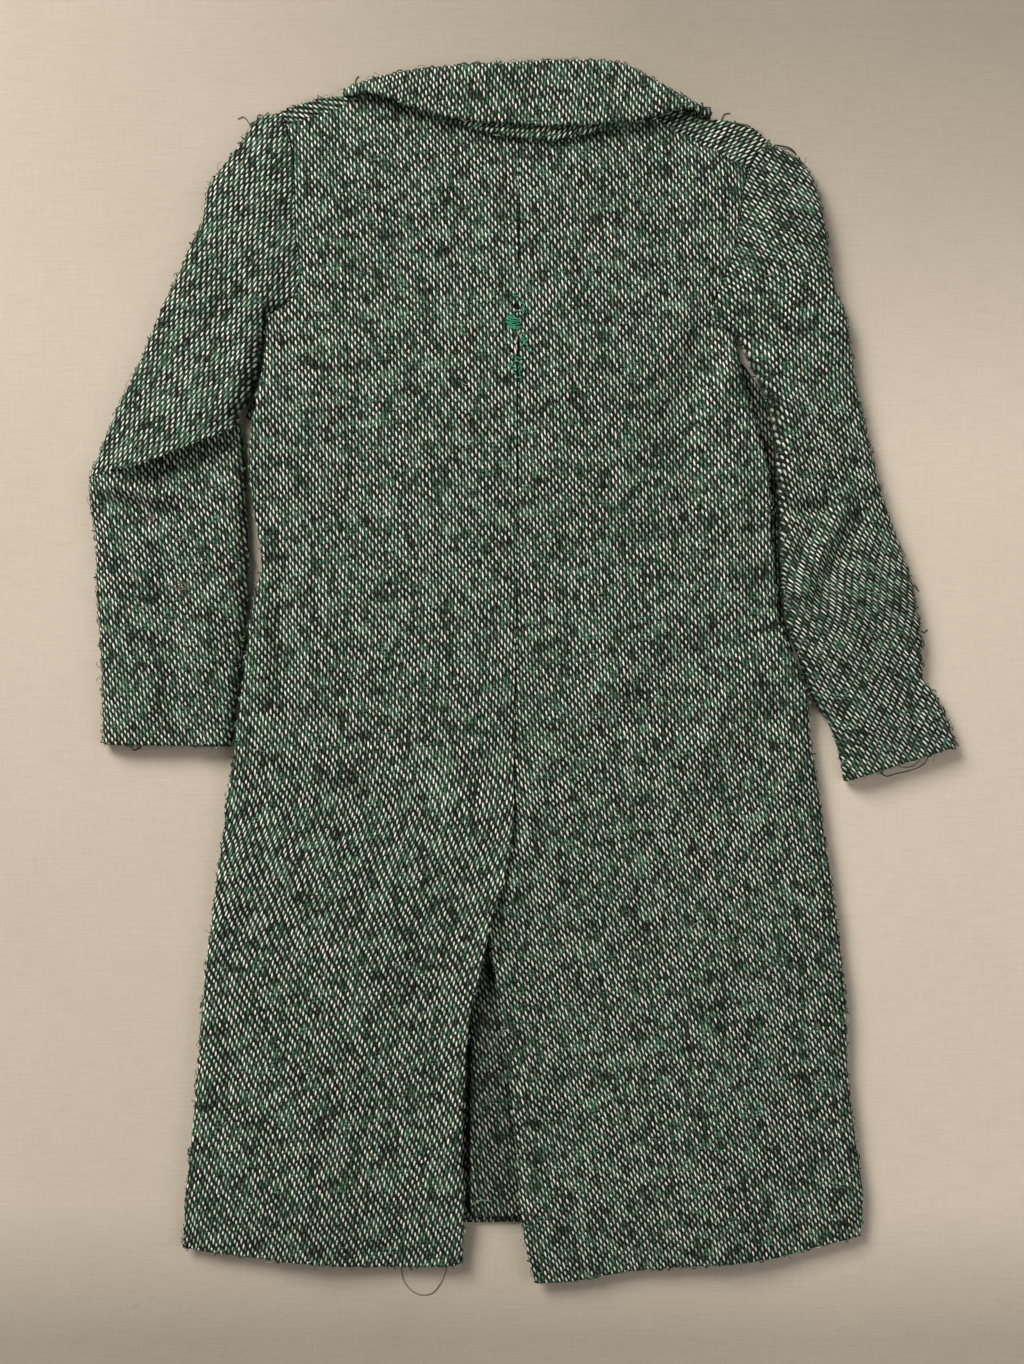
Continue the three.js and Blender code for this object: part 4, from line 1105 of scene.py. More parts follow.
        above = np.concatenate([np.ones(columns, bool), np.zeros(columns - 2, bool)])
        xy = rings[0][..., :2]
        section = np.concatenate([t, t[:, -2:0:-1]], axis=1)
        weave = weave_at(self.lower_grain, xy[..., 0], xy[..., 1])
        if self.elbow is not None:
            before = weave_at(self.upper_grain, xy[..., 0], xy[..., 1])
            weave = np.where((section < self.elbow)[..., None], before, weave)
        edge_distance = np.minimum(np.minimum(from_edge, width - from_edge), from_cuff)
        fuzz = nap_share(edge_distance)
        fuzz = np.concatenate([fuzz, 0 * fuzz[:, -2:0:-1]], axis=1) * above
        return ClothMesh(
            points=np.concatenate([ring_points.reshape(-1, 3) for ring_points in rings]),
            faces=faces,
            weave=np.concatenate([weave.reshape(-1, 2)] * 2),
            fuzz=np.concatenate([fuzz.ravel(), 0 * fuzz.ravel()]),
        )


# Sections of the collar, left to right: x and y of the line it rolls over, x and y of the edge
# it falls to, and how far the under collar shows past that edge
COLLAR: Rows = (
    (-29.2, 93.5, -28.8, 92.1, -0.4),
    (-25.4, 94.7, -24.4, 92.2, -0.4),
    (-21.4, 95.7, -19.9, 90.6, -0.4),
    (-17.0, 96.6, -15.6, 89.1, -0.2),
    (-11.0, 97.1, -10.6, 87.9, 0.5),
    (-3.0, 97.6, -3.2, 87.1, 1.5),
    (5.0, 98.0, 4.6, 86.7, 2.0),
    (11.1, 98.0, 10.6, 86.9, 1.0),
    (15.9, 97.4, 15.4, 87.2, 0.0),
    (19.2, 95.8, 19.2, 87.9, -0.3),
    (23.0, 93.6, 22.9, 89.0, -0.4),
    (26.8, 91.6, 26.4, 89.7, -0.4),
    (30.3, 90.0, 30.0, 88.6, -0.4),
)


@dataclass
class CollarLayer:
    """One layer of the turned-over collar: along the fall, round the roll and back beneath."""

    name: str
    drape: Drape
    number: int
    first: float
    last: float
    under_depth: float
    turn: float
    roll_top: float = 5.0
    end_top: float = 3.75
    end_sections: float = 1.8
    stand_depth: float = 5.6
    narrow_bend: float = 0.45
    turn_share: float = 0.58
    along_step: float = 0.4
    roll_steps: int = 16
    fall_steps: int = 30
    nub: Unevenness = Unevenness(seed=45, pitch=0.62, depth=0.12, size=512)
    swell: Unevenness = Unevenness(seed=46, pitch=6.0, depth=0.1)

    def line(self, roll: Array, fall: Array, reach: float, full: float) -> Array:
        """Middle of the cloth in one section, as distances from the roll line and heights.

        Args:
            roll: the section's place on the roll line.
            fall: its place on the fall's edge.
            reach: how far the layer goes past that edge.
            full: 0 at the collar's ends, where it lies low, and 1 where both layers are in.

        Returns:
            Pairs of distance and height, from the fall's edge to the layer's end beneath.
        """
        depth = float(np.linalg.norm(fall - roll))
        stand = min(self.stand_depth, depth * self.turn_share)
        inset = self.number * LAYER + CLOTH / 2
        roll_top = lerp(self.end_top, self.roll_top, full)
        radius = roll_top / 2 - inset
        bend = min(radius, depth * self.narrow_bend)
        centre = inset + bend

        d = lerp(depth + reach, centre, graded(depth + reach - centre, 0.1, 0.5))
        x, y = (lerp(roll[k], fall[k], d / depth) for k in (0, 1))
        on_back = self.drape.back(x, y) + (1 + full) * LAYER + SLACK + full * self.swell.at(x, y)
        lifted = lerp(roll_top, np.maximum(on_back, roll_top), smooth((d - stand + 1.6) / 1.6))
        fall_line = np.stack([d, lifted - inset], -1)
        turn = np.pi * np.linspace(0, 1, self.roll_steps)[1:]
        bent = np.stack([centre - bend * np.sin(turn), inset + radius + radius * np.cos(turn)], -1)
        end = max(centre + GAP, min(self.under_depth, depth * self.turn_share))
        under = np.stack([np.linspace(centre, end, 6)[1:], np.full(5, inset)], -1)
        return np.concatenate([fall_line, bent, under])

    def build(self) -> ClothMesh:
        """Builds the layer through its sections, with rounded edges and closed ends.

        Returns:
            The mesh, in millimetres.
        """
        rows = [(float(i), *row) for i, row in enumerate(COLLAR)]
        reads = [Edge(rows, column) for column in range(1, 6)]
        span = np.linspace(self.first, self.last, 400)
        run = np.concatenate([[0], np.cumsum(np.hypot(*(np.diff(reads[k].at(span)) for k in (0, 1))))])
        marks = graded(run[-1], 0.12, self.along_step) * run[-1]
        count = self.roll_steps + self.fall_steps
        loops, weave, fuzz = [], [], []
        for mark in marks:
            t = float(np.interp(mark, run, span))
            roll = np.array([reads[0].at(t), reads[1].at(t)])
            fall = np.array([reads[2].at(t), reads[3].at(t)])
            reach = float(reads[4].at(t)) if self.number else 0.0
            full = float(smooth(min(t, len(COLLAR) - 1 - t) / self.end_sections))
            line = self.line(roll, fall, reach, full)
            length = lengths_along(line)
            shares = graded(length[-1], 0.08, length[-1] / count, growth=1.5)
            shares = np.interp(np.linspace(0, 1, count), np.linspace(0, 1, len(shares)), shares)
            at = shares * length[-1]
            line = np.stack([np.interp(at, length, line[:, k]) for k in (0, 1)], -1)
            slope = np.gradient(line, axis=0)
            slope /= np.linalg.norm(slope, axis=1, keepdims=True)
            end = np.clip(np.minimum(at, at[-1] - at) / FREE_ROUND, 0, 1)
            tip = np.clip(min(mark, run[-1] - mark) / FREE_ROUND, 0.02, 1)
            half = CLOTH / 2 * np.sqrt(1 - (1 - end) ** 2) * math.sqrt(1 - (1 - tip) ** 2)
            normal = np.stack([slope[:, 1], -slope[:, 0]], -1)
            out = normal * half[:, None]
            section = np.concatenate([line + out, (line - out)[-2:0:-1]])
            away = np.concatenate([at, at[-2:0:-1]])
            section[:, 0] += self.nub.at(mark, 5.0) * edge_fade(away)
            section[:, 0] -= self.nub.at(mark, 14.0) * edge_fade(np.maximum(section[:, 0], 0))
            share = section[:, :1] / np.linalg.norm(fall - roll)
            xy = lerp(roll, fall, share)
            loops.append(np.concatenate([xy, section[:, 1:]], -1))
            weave.append(turned(xy[:, 0], -away, self.turn))
            outside = np.concatenate([np.ones(count, bool), np.zeros(count - 2, bool)])
            edge = np.minimum(away, np.abs(section[:, 0]))
            fuzz.append(nap_share(edge) * outside)
        points = np.array(loops)
        sections, size = points.shape[:2]
        numbers = np.arange(sections * size).reshape(sections, size)
        closed = np.concatenate([numbers, numbers[:, :1]], axis=1)
        faces = grid_faces(closed)
        for row, flip in ((0, False), (sections - 1, True)):
            side = np.stack([numbers[row][1 : count - 1], numbers[row][: count - 1 : -1]])
            faces += grid_faces(side, flip=flip)
            for tip, near, far in ((0, 1, size - 1), (count - 1, count, count - 2)):
                face = (numbers[row][tip], numbers[row][far], numbers[row][near])
                faces.append(tuple(int(n) for n in (face if not flip else face[::-1])))
        return ClothMesh(
            points=points.reshape(-1, 3),
            faces=faces,
            weave=np.array(weave).reshape(-1, 2),
            fuzz=np.array(fuzz).ravel(),
        )


class Wire:
    """A socket's value in a material, with Python's operators for its maths."""

    def __init__(self, graph: "Graph", socket: NodeSocket) -> None:
        """Holds the socket and the graph that new nodes go into."""
        self.graph = graph
        self.socket = socket

    def maths(self, operation: str, *values: "Wire | float", clamp: bool = False) -> "Wire":
        """Adds a Math node that works on these values.

        Args:
            operation: the node's operation.
            values: its inputs, in order.
            clamp: whether the result is held from 0 to 1.

        Returns:
            The result.
        """
        sockets = dict(enumerate(values))
        node = self.graph.add("ShaderNodeMath", {"operation": operation, "use_clamp": clamp}, sockets)
        return self.graph.wire(node)

    def __add__(self, other: "Wire | float") -> "Wire":
        """Sum."""
        return self.maths("ADD", self, other)

    def __radd__(self, other: float) -> "Wire":
        """Sum."""
        return self.maths("ADD", other, self)

    def __sub__(self, other: "Wire | float") -> "Wire":
        """Difference."""
        return self.maths("SUBTRACT", self, other)

    def __rsub__(self, other: float) -> "Wire":
        """Difference, the other way."""
        return self.maths("SUBTRACT", other, self)

    def __mul__(self, other: "Wire | float") -> "Wire":
        """Product."""
        return self.maths("MULTIPLY", self, other)

    def __rmul__(self, other: float) -> "Wire":
        """Product."""
        return self.maths("MULTIPLY", other, self)

    def __truediv__(self, other: "Wire | float") -> "Wire":
        """Quotient."""
        return self.maths("DIVIDE", self, other)

    def __mod__(self, other: float) -> "Wire":
        """Remainder, from 0 to the divisor."""
        return self.maths("FLOORED_MODULO", self, other)

    def __pow__(self, other: "Wire | float") -> "Wire":
        """Power."""
        return self.maths("POWER", self, other)

    def __abs__(self) -> "Wire":
        """Size without its sign."""
        return self.maths("ABSOLUTE", self)

    def __lt__(self, other: float) -> "Wire":
        """1 where less, or else 0."""
        return self.maths("LESS_THAN", self, other)

    def floor(self) -> "Wire":
        """Whole part."""
        return self.maths("FLOOR", self)

    def fraction(self) -> "Wire":
        """Part past the whole one."""
        return self.maths("FRACT", self)

    def root(self) -> "Wire":
        """Square root."""
        return self.maths("SQRT", self)

    def at_least(self, low: float) -> "Wire":
        """The value, or the limit where that is more."""
        return self.maths("MAXIMUM", self, low)

    def held(self) -> "Wire":
        """The value held from 0 to 1."""
        return self.maths("ADD", self, 0.0, clamp=True)


class Graph:
    """A material's or a geometry's nodes, added one at a time."""

    def __init__(self, tree: NodeTree) -> None:
        """Holds the tree."""
        self.tree = tree

    def add(self, kind: str, settings: dict | None = None, sockets: dict | None = None) -> Node:
        """Adds one node.

        Args:
            kind: the node's type.
            settings: its properties, set first, and a ramp's stops.
            sockets: values or wires for its inputs, by name or number.

        Returns:
            The node.
        """
        node = self.tree.nodes.new(kind)
        for name, value in (settings or {}).items():
            if name == "stops":
                self.set_stops(node.color_ramp, value)
            else:
                setattr(node, name, value)
        for key, value in (sockets or {}).items():
            if isinstance(value, Wire):
                self.tree.links.new(value.socket, node.inputs[key])
            else:
                node.inputs[key].default_value = value
        return node

    @staticmethod
    def set_stops(ramp: ColorRamp, stops: list[tuple[float, tuple[float, ...]]]) -> None:
        """Gives a ramp its stops."""
        while len(ramp.elements) < len(stops):
            ramp.elements.new(1.0)
        for element, (place, colour) in zip(ramp.elements, stops):
            element.position = place
            element.color = (*colour, 1.0)

    def wire(self, node: Node, output: str | int = 0) -> Wire:
        """One of a node's outputs, ready for maths."""
        return Wire(self, node.outputs[output])

    def mix(self, a: Wire | tuple, b: Wire | tuple, share: Wire | float, blend: str = "MIX") -> Wire:
        """Mixes two colours.

        Args:
            a: the first colour.
            b: the second.
            share: how much of the second there is.
            blend: how they mix.

        Returns:
            The colour.
        """
        colours = [c if isinstance(c, Wire) else (*c, 1.0) for c in (a, b)]
        settings = {"data_type": "RGBA", "blend_type": blend}
        node = self.add("ShaderNodeMix", settings, {0: share, 6: colours[0], 7: colours[1]})
        return self.wire(node, 2)

    def vector(self, x: Wire | float, y: Wire | float, z: Wire | float = 0.0) -> Wire:
        """Joins three numbers into a vector."""
        return self.wire(self.add("ShaderNodeCombineXYZ", None, {0: x, 1: y, 2: z}))

    def random(self, x: Wire | float, y: Wire | float, z: Wire | float = 0.0) -> Wire:
        """A number from 0 to 1 that is random for each cell."""
        node = self.add("ShaderNodeTexWhiteNoise", {"noise_dimensions": "3D"}, {0: self.vector(x, y, z)})
        return self.wire(node)

    def noise(self, vector: Wire, scale: float, detail: float = 2.0, rough: float = 0.5) -> Wire:
        """Soft noise from 0 to 1."""
        sockets = {"Vector": vector, "Scale": scale, "Detail": detail, "Roughness": rough}
        return self.wire(self.add("ShaderNodeTexNoise", None, sockets))

    def split(self, vector: Wire) -> tuple[Wire, Wire]:
        """The first two numbers of a vector."""
        parts = self.add("ShaderNodeSeparateXYZ", None, {0: vector})
        return self.wire(parts, 0), self.wire(parts, 1)

    def bump(self, height: Wire, strength: float, distance: float) -> Wire:
        """A normal that follows a height."""
        sockets = {"Strength": strength, "Distance": distance, "Height": height}
        return self.wire(self.add("ShaderNodeBump", None, sockets))

    def ramp(self, value: Wire, stops: list[tuple[float, tuple[float, ...]]]) -> Wire:
        """A colour from a number."""
        return self.wire(self.add("ShaderNodeValToRGB", {"stops": stops}, {0: value}))


def new_material(name: str) -> tuple[Material, Graph, Node]:
    """Makes an empty material with its shader.

    Args:
        name: the material's name.

    Returns:
        The material, its graph and its shader node, which is linked to the output.
    """
    material = bpy.data.materials.new(name)
    material.use_nodes = True
    material.node_tree.nodes.clear()
    graph = Graph(material.node_tree)
    shader = graph.add("ShaderNodeBsdfPrincipled")
    output = graph.add("ShaderNodeOutputMaterial")
    material.node_tree.links.new(shader.outputs[0], output.inputs[0])
    return material, graph, shader


# Colours of the yarns from their darkest slubs to their palest: (share, colour)
PALE_YARN = [
    (0.0, (0.014, 0.012, 0.011)),
    (0.22, (0.030, 0.030, 0.024)),
    (0.38, (0.12, 0.14, 0.11)),
    (0.55, (0.41, 0.43, 0.36)),
    (0.72, (0.76, 0.75, 0.64)),
    (1.0, (1.0, 0.95, 0.83)),
]
GREEN_YARN = [
    (0.0, (0.010, 0.012, 0.009)),
    (0.24, (0.026, 0.055, 0.032)),
    (0.42, (0.075, 0.175, 0.105)),
    (0.64, (0.21, 0.40, 0.26)),
    (1.0, (0.60, 0.74, 0.60)),
]
WEFT_YARN = [
    (0.0, (0.006, 0.005, 0.004)),
    (0.38, (0.014, 0.012, 0.011)),
    (0.52, (0.022, 0.034, 0.022)),
    (0.66, (0.042, 0.110, 0.062)),
    (0.82, (0.095, 0.23, 0.14)),
    (1.0, (0.26, 0.34, 0.25)),
]


@dataclass(frozen=True)
class Tweed:
    """The tweed: pale, slubby warp floats in half drop over a dark green and black weft, with painted shade
    in the gaps between the yarns.
    """

    name: str
    # Scales the cloth's colour. The fronts take a low value: painted shade for the shadow they lie in
    # beneath the back.
    shade: float = 1.12
    float_width: float = 0.30
    float_length: float = 0.345
    slant: float = -0.42
    wander: float = 0.85
    bump: float = 0.9
    relief: float = 0.00016
    holes: tuple[tuple[float, float, float, float], ...] = ()

    def worn(self, graph: Graph) -> Wire:
        """How far the cloth is worn through: 0 where whole, and 1 in the holes.

        Args:
            graph: the material's nodes.

        Returns:
            The share that is worn away.
        """
        place = graph.wire(graph.add("ShaderNodeTexCoord"), "Object")
        x, y = graph.split(place)
        x, y = x / MM, y / MM
        ragged = graph.noise(place, 1900.0) * 1.2 - 0.6
        most = None
        for hole_x, hole_y, half_width, half_height in self.holes:
            far = ((x - hole_x) / half_width) ** 2.0 + ((y - hole_y) / half_height) ** 2.0
            depth = ((1.0 - far + ragged) * 2.0).held()
            most = depth if most is None else most.maths("MAXIMUM", most, depth)
        return most

    def make(self) -> Material:
        """Makes the material from the piece's weave map.

        Returns:
            The material.
        """
        material, graph, shader = new_material(self.name)
        place = graph.wire(graph.add("ShaderNodeUVMap", {"uv_map": WEAVE_MAP}))
        x, y = graph.split(place)
        drift = graph.noise(place, 140.0) - 0.5
        sway = graph.noise(graph.vector(y, x, 0.7), 260.0) - 0.5
        across = x / (WARP_PITCH * MM) + drift * self.wander
        along = y / (FLOAT_PITCH * MM) + sway * self.wander

        column = across.floor()
        along = along + (column % 2.0) * 0.5 + graph.random(column, 3.0) * 0.14
        row = along.floor()
        b = along.fraction() - 0.5
        a = across.fraction() - 0.5 - b * self.slant + 0.2 * (graph.random(row, column, 4.0) - 0.5)
        plump = 0.75 + 0.45 * graph.random(column, row, 5.0)
        oval = (a / self.float_width) ** 2.0 + (b / (self.float_length * plump)) ** 2.0
        dome = (1.0 - oval).at_least(0.0).root()
        on_top = (dome * 2.2).held()
        past = (0.5 - abs(b)) / 0.24
        under = (1.0 - past * past - a * a * 1.6).at_least(0.0).root()

        weft_row = (along * 2.0).floor()
        streak = graph.noise(graph.vector(across * 0.16, weft_row * 3.7, 1.0), 1.0, 3.0, 0.65)
        blotch = graph.noise(place, 330.0, 3.0, 0.6)
        slub = graph.noise(graph.vector(across * 0.9, along * 0.42, 2.0), 1.0, 2.0, 0.6)
        pick = 0.80 * graph.random(column, row) + 0.08 * graph.random(column, 1.0)
        pick = pick + 0.95 * (blotch - 0.5) + 0.45 * (slub - 0.5) + 0.6 * (streak - 0.5)
        pick = (pick + 0.36).held()
        stripe = ((column + 5.0) % float(GREEN_EVERY)) < 1.0
        tint = graph.noise(graph.vector(across * 0.6, along * 0.12, 9.0), 1.0, 2.0, 0.6)
        tint = 1.7 * (tint - 0.5) + 0.9 * graph.random(row, column, 7.0) + 0.6 * stripe + 0.04
        warp = graph.mix(graph.ramp(pick, PALE_YARN), graph.ramp(pick, GREEN_YARN), tint.held())

        weft = graph.ramp((1.5 * (streak - 0.5) + 0.5 + 0.5 * (blotch - 0.5)).held(), WEFT_YARN)
        cloth = graph.mix(weft, warp, on_top)
        # Painted shade: the colour darkens in the gaps between the floats and the weft yarns, and is scaled
        # by shade.
        hollow = 0.20 + 0.80 * (dome + under * (1.0 - on_top)).held()
        hair = graph.noise(place, 5200.0, 2.0, 0.7)
        light = hollow * (0.62 + 0.76 * hair) * self.shade
        # The holes are real wear, but they are not cut: their colour is darkened as painted shade for the
        # dark seen through them.
        if self.holes:
            light = light * (1.0 - 0.9 * self.worn(graph))
        colour = graph.mix(cloth, graph.vector(light, light, light), 1.0, "MULTIPLY")

        height = dome * 1.0 + under * 0.65 + hair * 0.45 + 0.35 * slub
        self.finish(graph, shader, colour, graph.bump(height, self.bump, self.relief))
        return material

    @staticmethod
    def finish(graph: Graph, shader: Node, colour: Wire, normal: Wire | None) -> None:
        """Sets a woollen finish on a shader.

        Args:
            graph: the material's nodes.
            shader: its shader.
            colour: the colour.
            normal: the relief, if it has one.
        """
        graph.tree.links.new(colour.socket, shader.inputs["Base Color"])
        if normal is not None:
            graph.tree.links.new(normal.socket, shader.inputs["Normal"])
        shader.inputs["Roughness"].default_value = 0.92
        shader.inputs["Specular IOR Level"].default_value = 0.18
        shader.inputs["Sheen Weight"].default_value = 0.04
        shader.inputs["Sheen Roughness"].default_value = 0.55
        shader.inputs["Sheen Tint"].default_value = (0.80, 0.88, 0.78, 1.0)


@dataclass(frozen=True)
class Wool:
    """Loose woollen hairs and yarns, from near-black through green to off-white."""

    name: str
    stops: tuple[tuple[float, Place], ...] = (
        (0.0, (0.012, 0.016, 0.011)),
        (0.35, (0.022, 0.060, 0.032)),
        (0.6, (0.06, 0.17, 0.09)),
        (0.8, (0.22, 0.28, 0.20)),
        (1.0, (0.50, 0.50, 0.43)),
    )

    def make(self) -> Material:
        """Makes the material, which takes its place in the range from each hair's hue.

        Returns:
            The material.
        """
        material, graph, shader = new_material(self.name)
        hue = graph.wire(graph.add("ShaderNodeAttribute", {"attribute_name": HUE}), "Fac")
        Tweed.finish(graph, shader, graph.ramp(hue, list(self.stops)), None)
        return material


@dataclass(frozen=True)
class Thread:
    """A plain spun thread of one colour, with a fine twist."""

    name: str
    colour: Place
    dark: float = 0.45
    twist_pitch: float = 0.3

    def make(self) -> Material:
        """Makes the material; the twist runs on the thread's own map.

        Returns:
            The material.
        """
        material, graph, shader = new_material(self.name)
        around, along = graph.split(graph.wire(graph.add("ShaderNodeUVMap", {"uv_map": WEAVE_MAP})))
        turn = around + along / (self.twist_pitch * MM)
        ply = abs(turn.fraction() - 0.5) * 2.0
        # Painted shade: the grooves of the twist are darkened to a share dark of the colour.
        shaded = tuple(c * self.dark for c in self.colour)
        colour = graph.mix(shaded, self.colour, ply)
        Tweed.finish(graph, shader, colour, graph.bump(ply, 0.6, 0.00005))
        return material


@dataclass
class FuzzTree:
    """Geometry Nodes that scatter short curled hairs over a piece of cloth."""

    name: str = "Fuzz"
    sides: int = 3
    steps: int = 4

    def make(self) -> NodeTree:
        """Builds the tree, with its sizes as named inputs.

        Returns:
            The tree.
        """
        tree = bpy.data.node_groups.new(self.name, "GeometryNodeTree")
        face = tree.interface
        face.new_socket("Geometry", in_out="INPUT", socket_type="NodeSocketGeometry")
        for label in ("Density", "Length", "Thickness", "Edges"):
            face.new_socket(label, in_out="INPUT", socket_type="NodeSocketFloat")
        face.new_socket("Seed", in_out="INPUT", socket_type="NodeSocketInt")
        face.new_socket("Material", in_out="INPUT", socket_type="NodeSocketMaterial")
        face.new_socket("Geometry", in_out="OUTPUT", socket_type="NodeSocketGeometry")
        graph = Graph(tree)
        given = graph.add("NodeGroupInput")

        def wire(name: str) -> Wire:
            """One of the tree's inputs."""
            return graph.wire(given, name)

        amount = graph.add("GeometryNodeInputNamedAttribute", {"data_type": "FLOAT"}, {"Name": FUZZ})
        spread = graph.add("GeometryNodeDistributePointsOnFaces", {"distribute_method": "RANDOM"}, {
            "Mesh": wire("Geometry"),
            "Density": wire("Density") * graph.wire(amount, "Attribute") ** wire("Edges"),
            "Seed": wire("Seed"),
        })
        length = wire("Length")
        curl = graph.add("GeometryNodeCurvePrimitiveBezierSegment", {"mode": "POSITION"}, {
            "Resolution": self.steps,
            "Start": (0.0, 0.0, 0.0),
            "Start Handle": graph.vector(length * 0.2, length * 0.25, length * 0.35),
            "End Handle": graph.vector(length * 0.9, length * -0.35, length * 0.40),
            "End": graph.vector(length, length * 0.1, length * 0.12),
        })
        ring = graph.add("GeometryNodeCurvePrimitiveCircle", {"mode": "RADIUS"}, {
            "Resolution": self.sides, "Radius": wire("Thickness") * 0.5})
        hair = graph.add("GeometryNodeCurveToMesh", None, {
            "Curve": graph.wire(curl), "Profile Curve": graph.wire(ring), "Fill Caps": True})

        def spread_of(kind: str, low: float | Place, high: float | Place, seed: Wire) -> Node:
            """A random value for each hair."""
            sockets = {"Min": low, "Max": high, "Seed": seed}
            return graph.add("FunctionNodeRandomValue", {"data_type": kind}, sockets)

        turn = spread_of("FLOAT_VECTOR", (-0.25, -0.25, 0.0), (0.25, 0.35, 6.283), wire("Seed"))
        leaning = graph.add("FunctionNodeRotateRotation", {"rotation_space": "LOCAL"}, {
            0: graph.wire(spread, "Rotation"), 1: graph.wire(turn, "Value")})
        size = spread_of("FLOAT", 0.45, 1.5, wire("Seed") + 1.0)
        placed = graph.add("GeometryNodeInstanceOnPoints", None, {
            "Points": graph.wire(spread), "Instance": graph.wire(hair),
            "Rotation": graph.wire(leaning), "Scale": graph.wire(size, 1)})
        shade = spread_of("FLOAT", 0.0, 1.0, wire("Seed") + 2.0)
        named = graph.add("GeometryNodeStoreNamedAttribute",
                          {"data_type": "FLOAT", "domain": "INSTANCE"},
                          {"Geometry": graph.wire(placed), "Name": HUE, "Value": graph.wire(shade, 1)})
        real = graph.add("GeometryNodeRealizeInstances", None, {"Geometry": graph.wire(named)})
        dressed = graph.add("GeometryNodeSetMaterial", None, {
            "Geometry": graph.wire(real), "Material": wire("Material")})
        graph.add("NodeGroupOutput", None, {"Geometry": graph.wire(dressed)})
        return tree


def grow(tree: NodeTree, name: str, source: Object, values: dict) -> Object:
    """Grows a new piece on a source piece with a Geometry Nodes tree.

    Args:
        tree: the tree.
        name: the new piece's name.
        source: the piece that it grows on, which isn't changed.
        values: the tree's inputs, by name.

    Returns:
        The new piece, as a plain mesh.
    """
    holder = add_object(name + "_holder", source.data.copy())
    modifier = holder.modifiers.new("grow", "NODES")
    modifier.node_group = tree
    for item in tree.interface.items_tree:
        if item.in_out == "INPUT" and item.name in values:
            modifier[item.identifier] = values[item.name]
    graph = bpy.context.evaluated_depsgraph_get()
    mesh = bpy.data.meshes.new_from_object(holder.evaluated_get(graph))
    mesh.name = name
    bpy.data.objects.remove(holder)
    return add_object(name, mesh)


@dataclass
class Nap:
    """One sort of short hair that stands out of the cloth, more of it along the edges."""

    label: str
    density: float
    length: float
    thickness: float
    edges: float
    seed: int

    def grow_on(self, pieces: list[Object], wool: Material) -> list[Object]:
        """Grows the hairs on each piece.

        Args:
            pieces: the pieces of cloth.
            wool: the hairs' material.

        Returns:
            A piece of hairs for each of them.
        """
        tree = FuzzTree().make()
        made = []
        for number, piece in enumerate(pieces):
            name = piece.name.replace("cloth", self.label)
            values = {"Density": self.density, "Length": self.length, "Thickness": self.thickness,
                      "Edges": self.edges, "Seed": self.seed + number, "Material": wool}
            hairs = grow(tree, name, piece, values)
            lift_off_floor(hairs.data)
            made.append(hairs)
        return made


def lift_off_floor(mesh: Mesh) -> None:
    """Keeps every point of a mesh on or above the surface that the coat lies on.

    Args:
        mesh: the mesh.
    """
    places = np.zeros(len(mesh.vertices) * 3, np.float32)
    mesh.vertices.foreach_get("co", places)
    places[2::3] = np.maximum(places[2::3], FLOOR_CLEAR * MM)
    mesh.vertices.foreach_set("co", places)
    mesh.update()


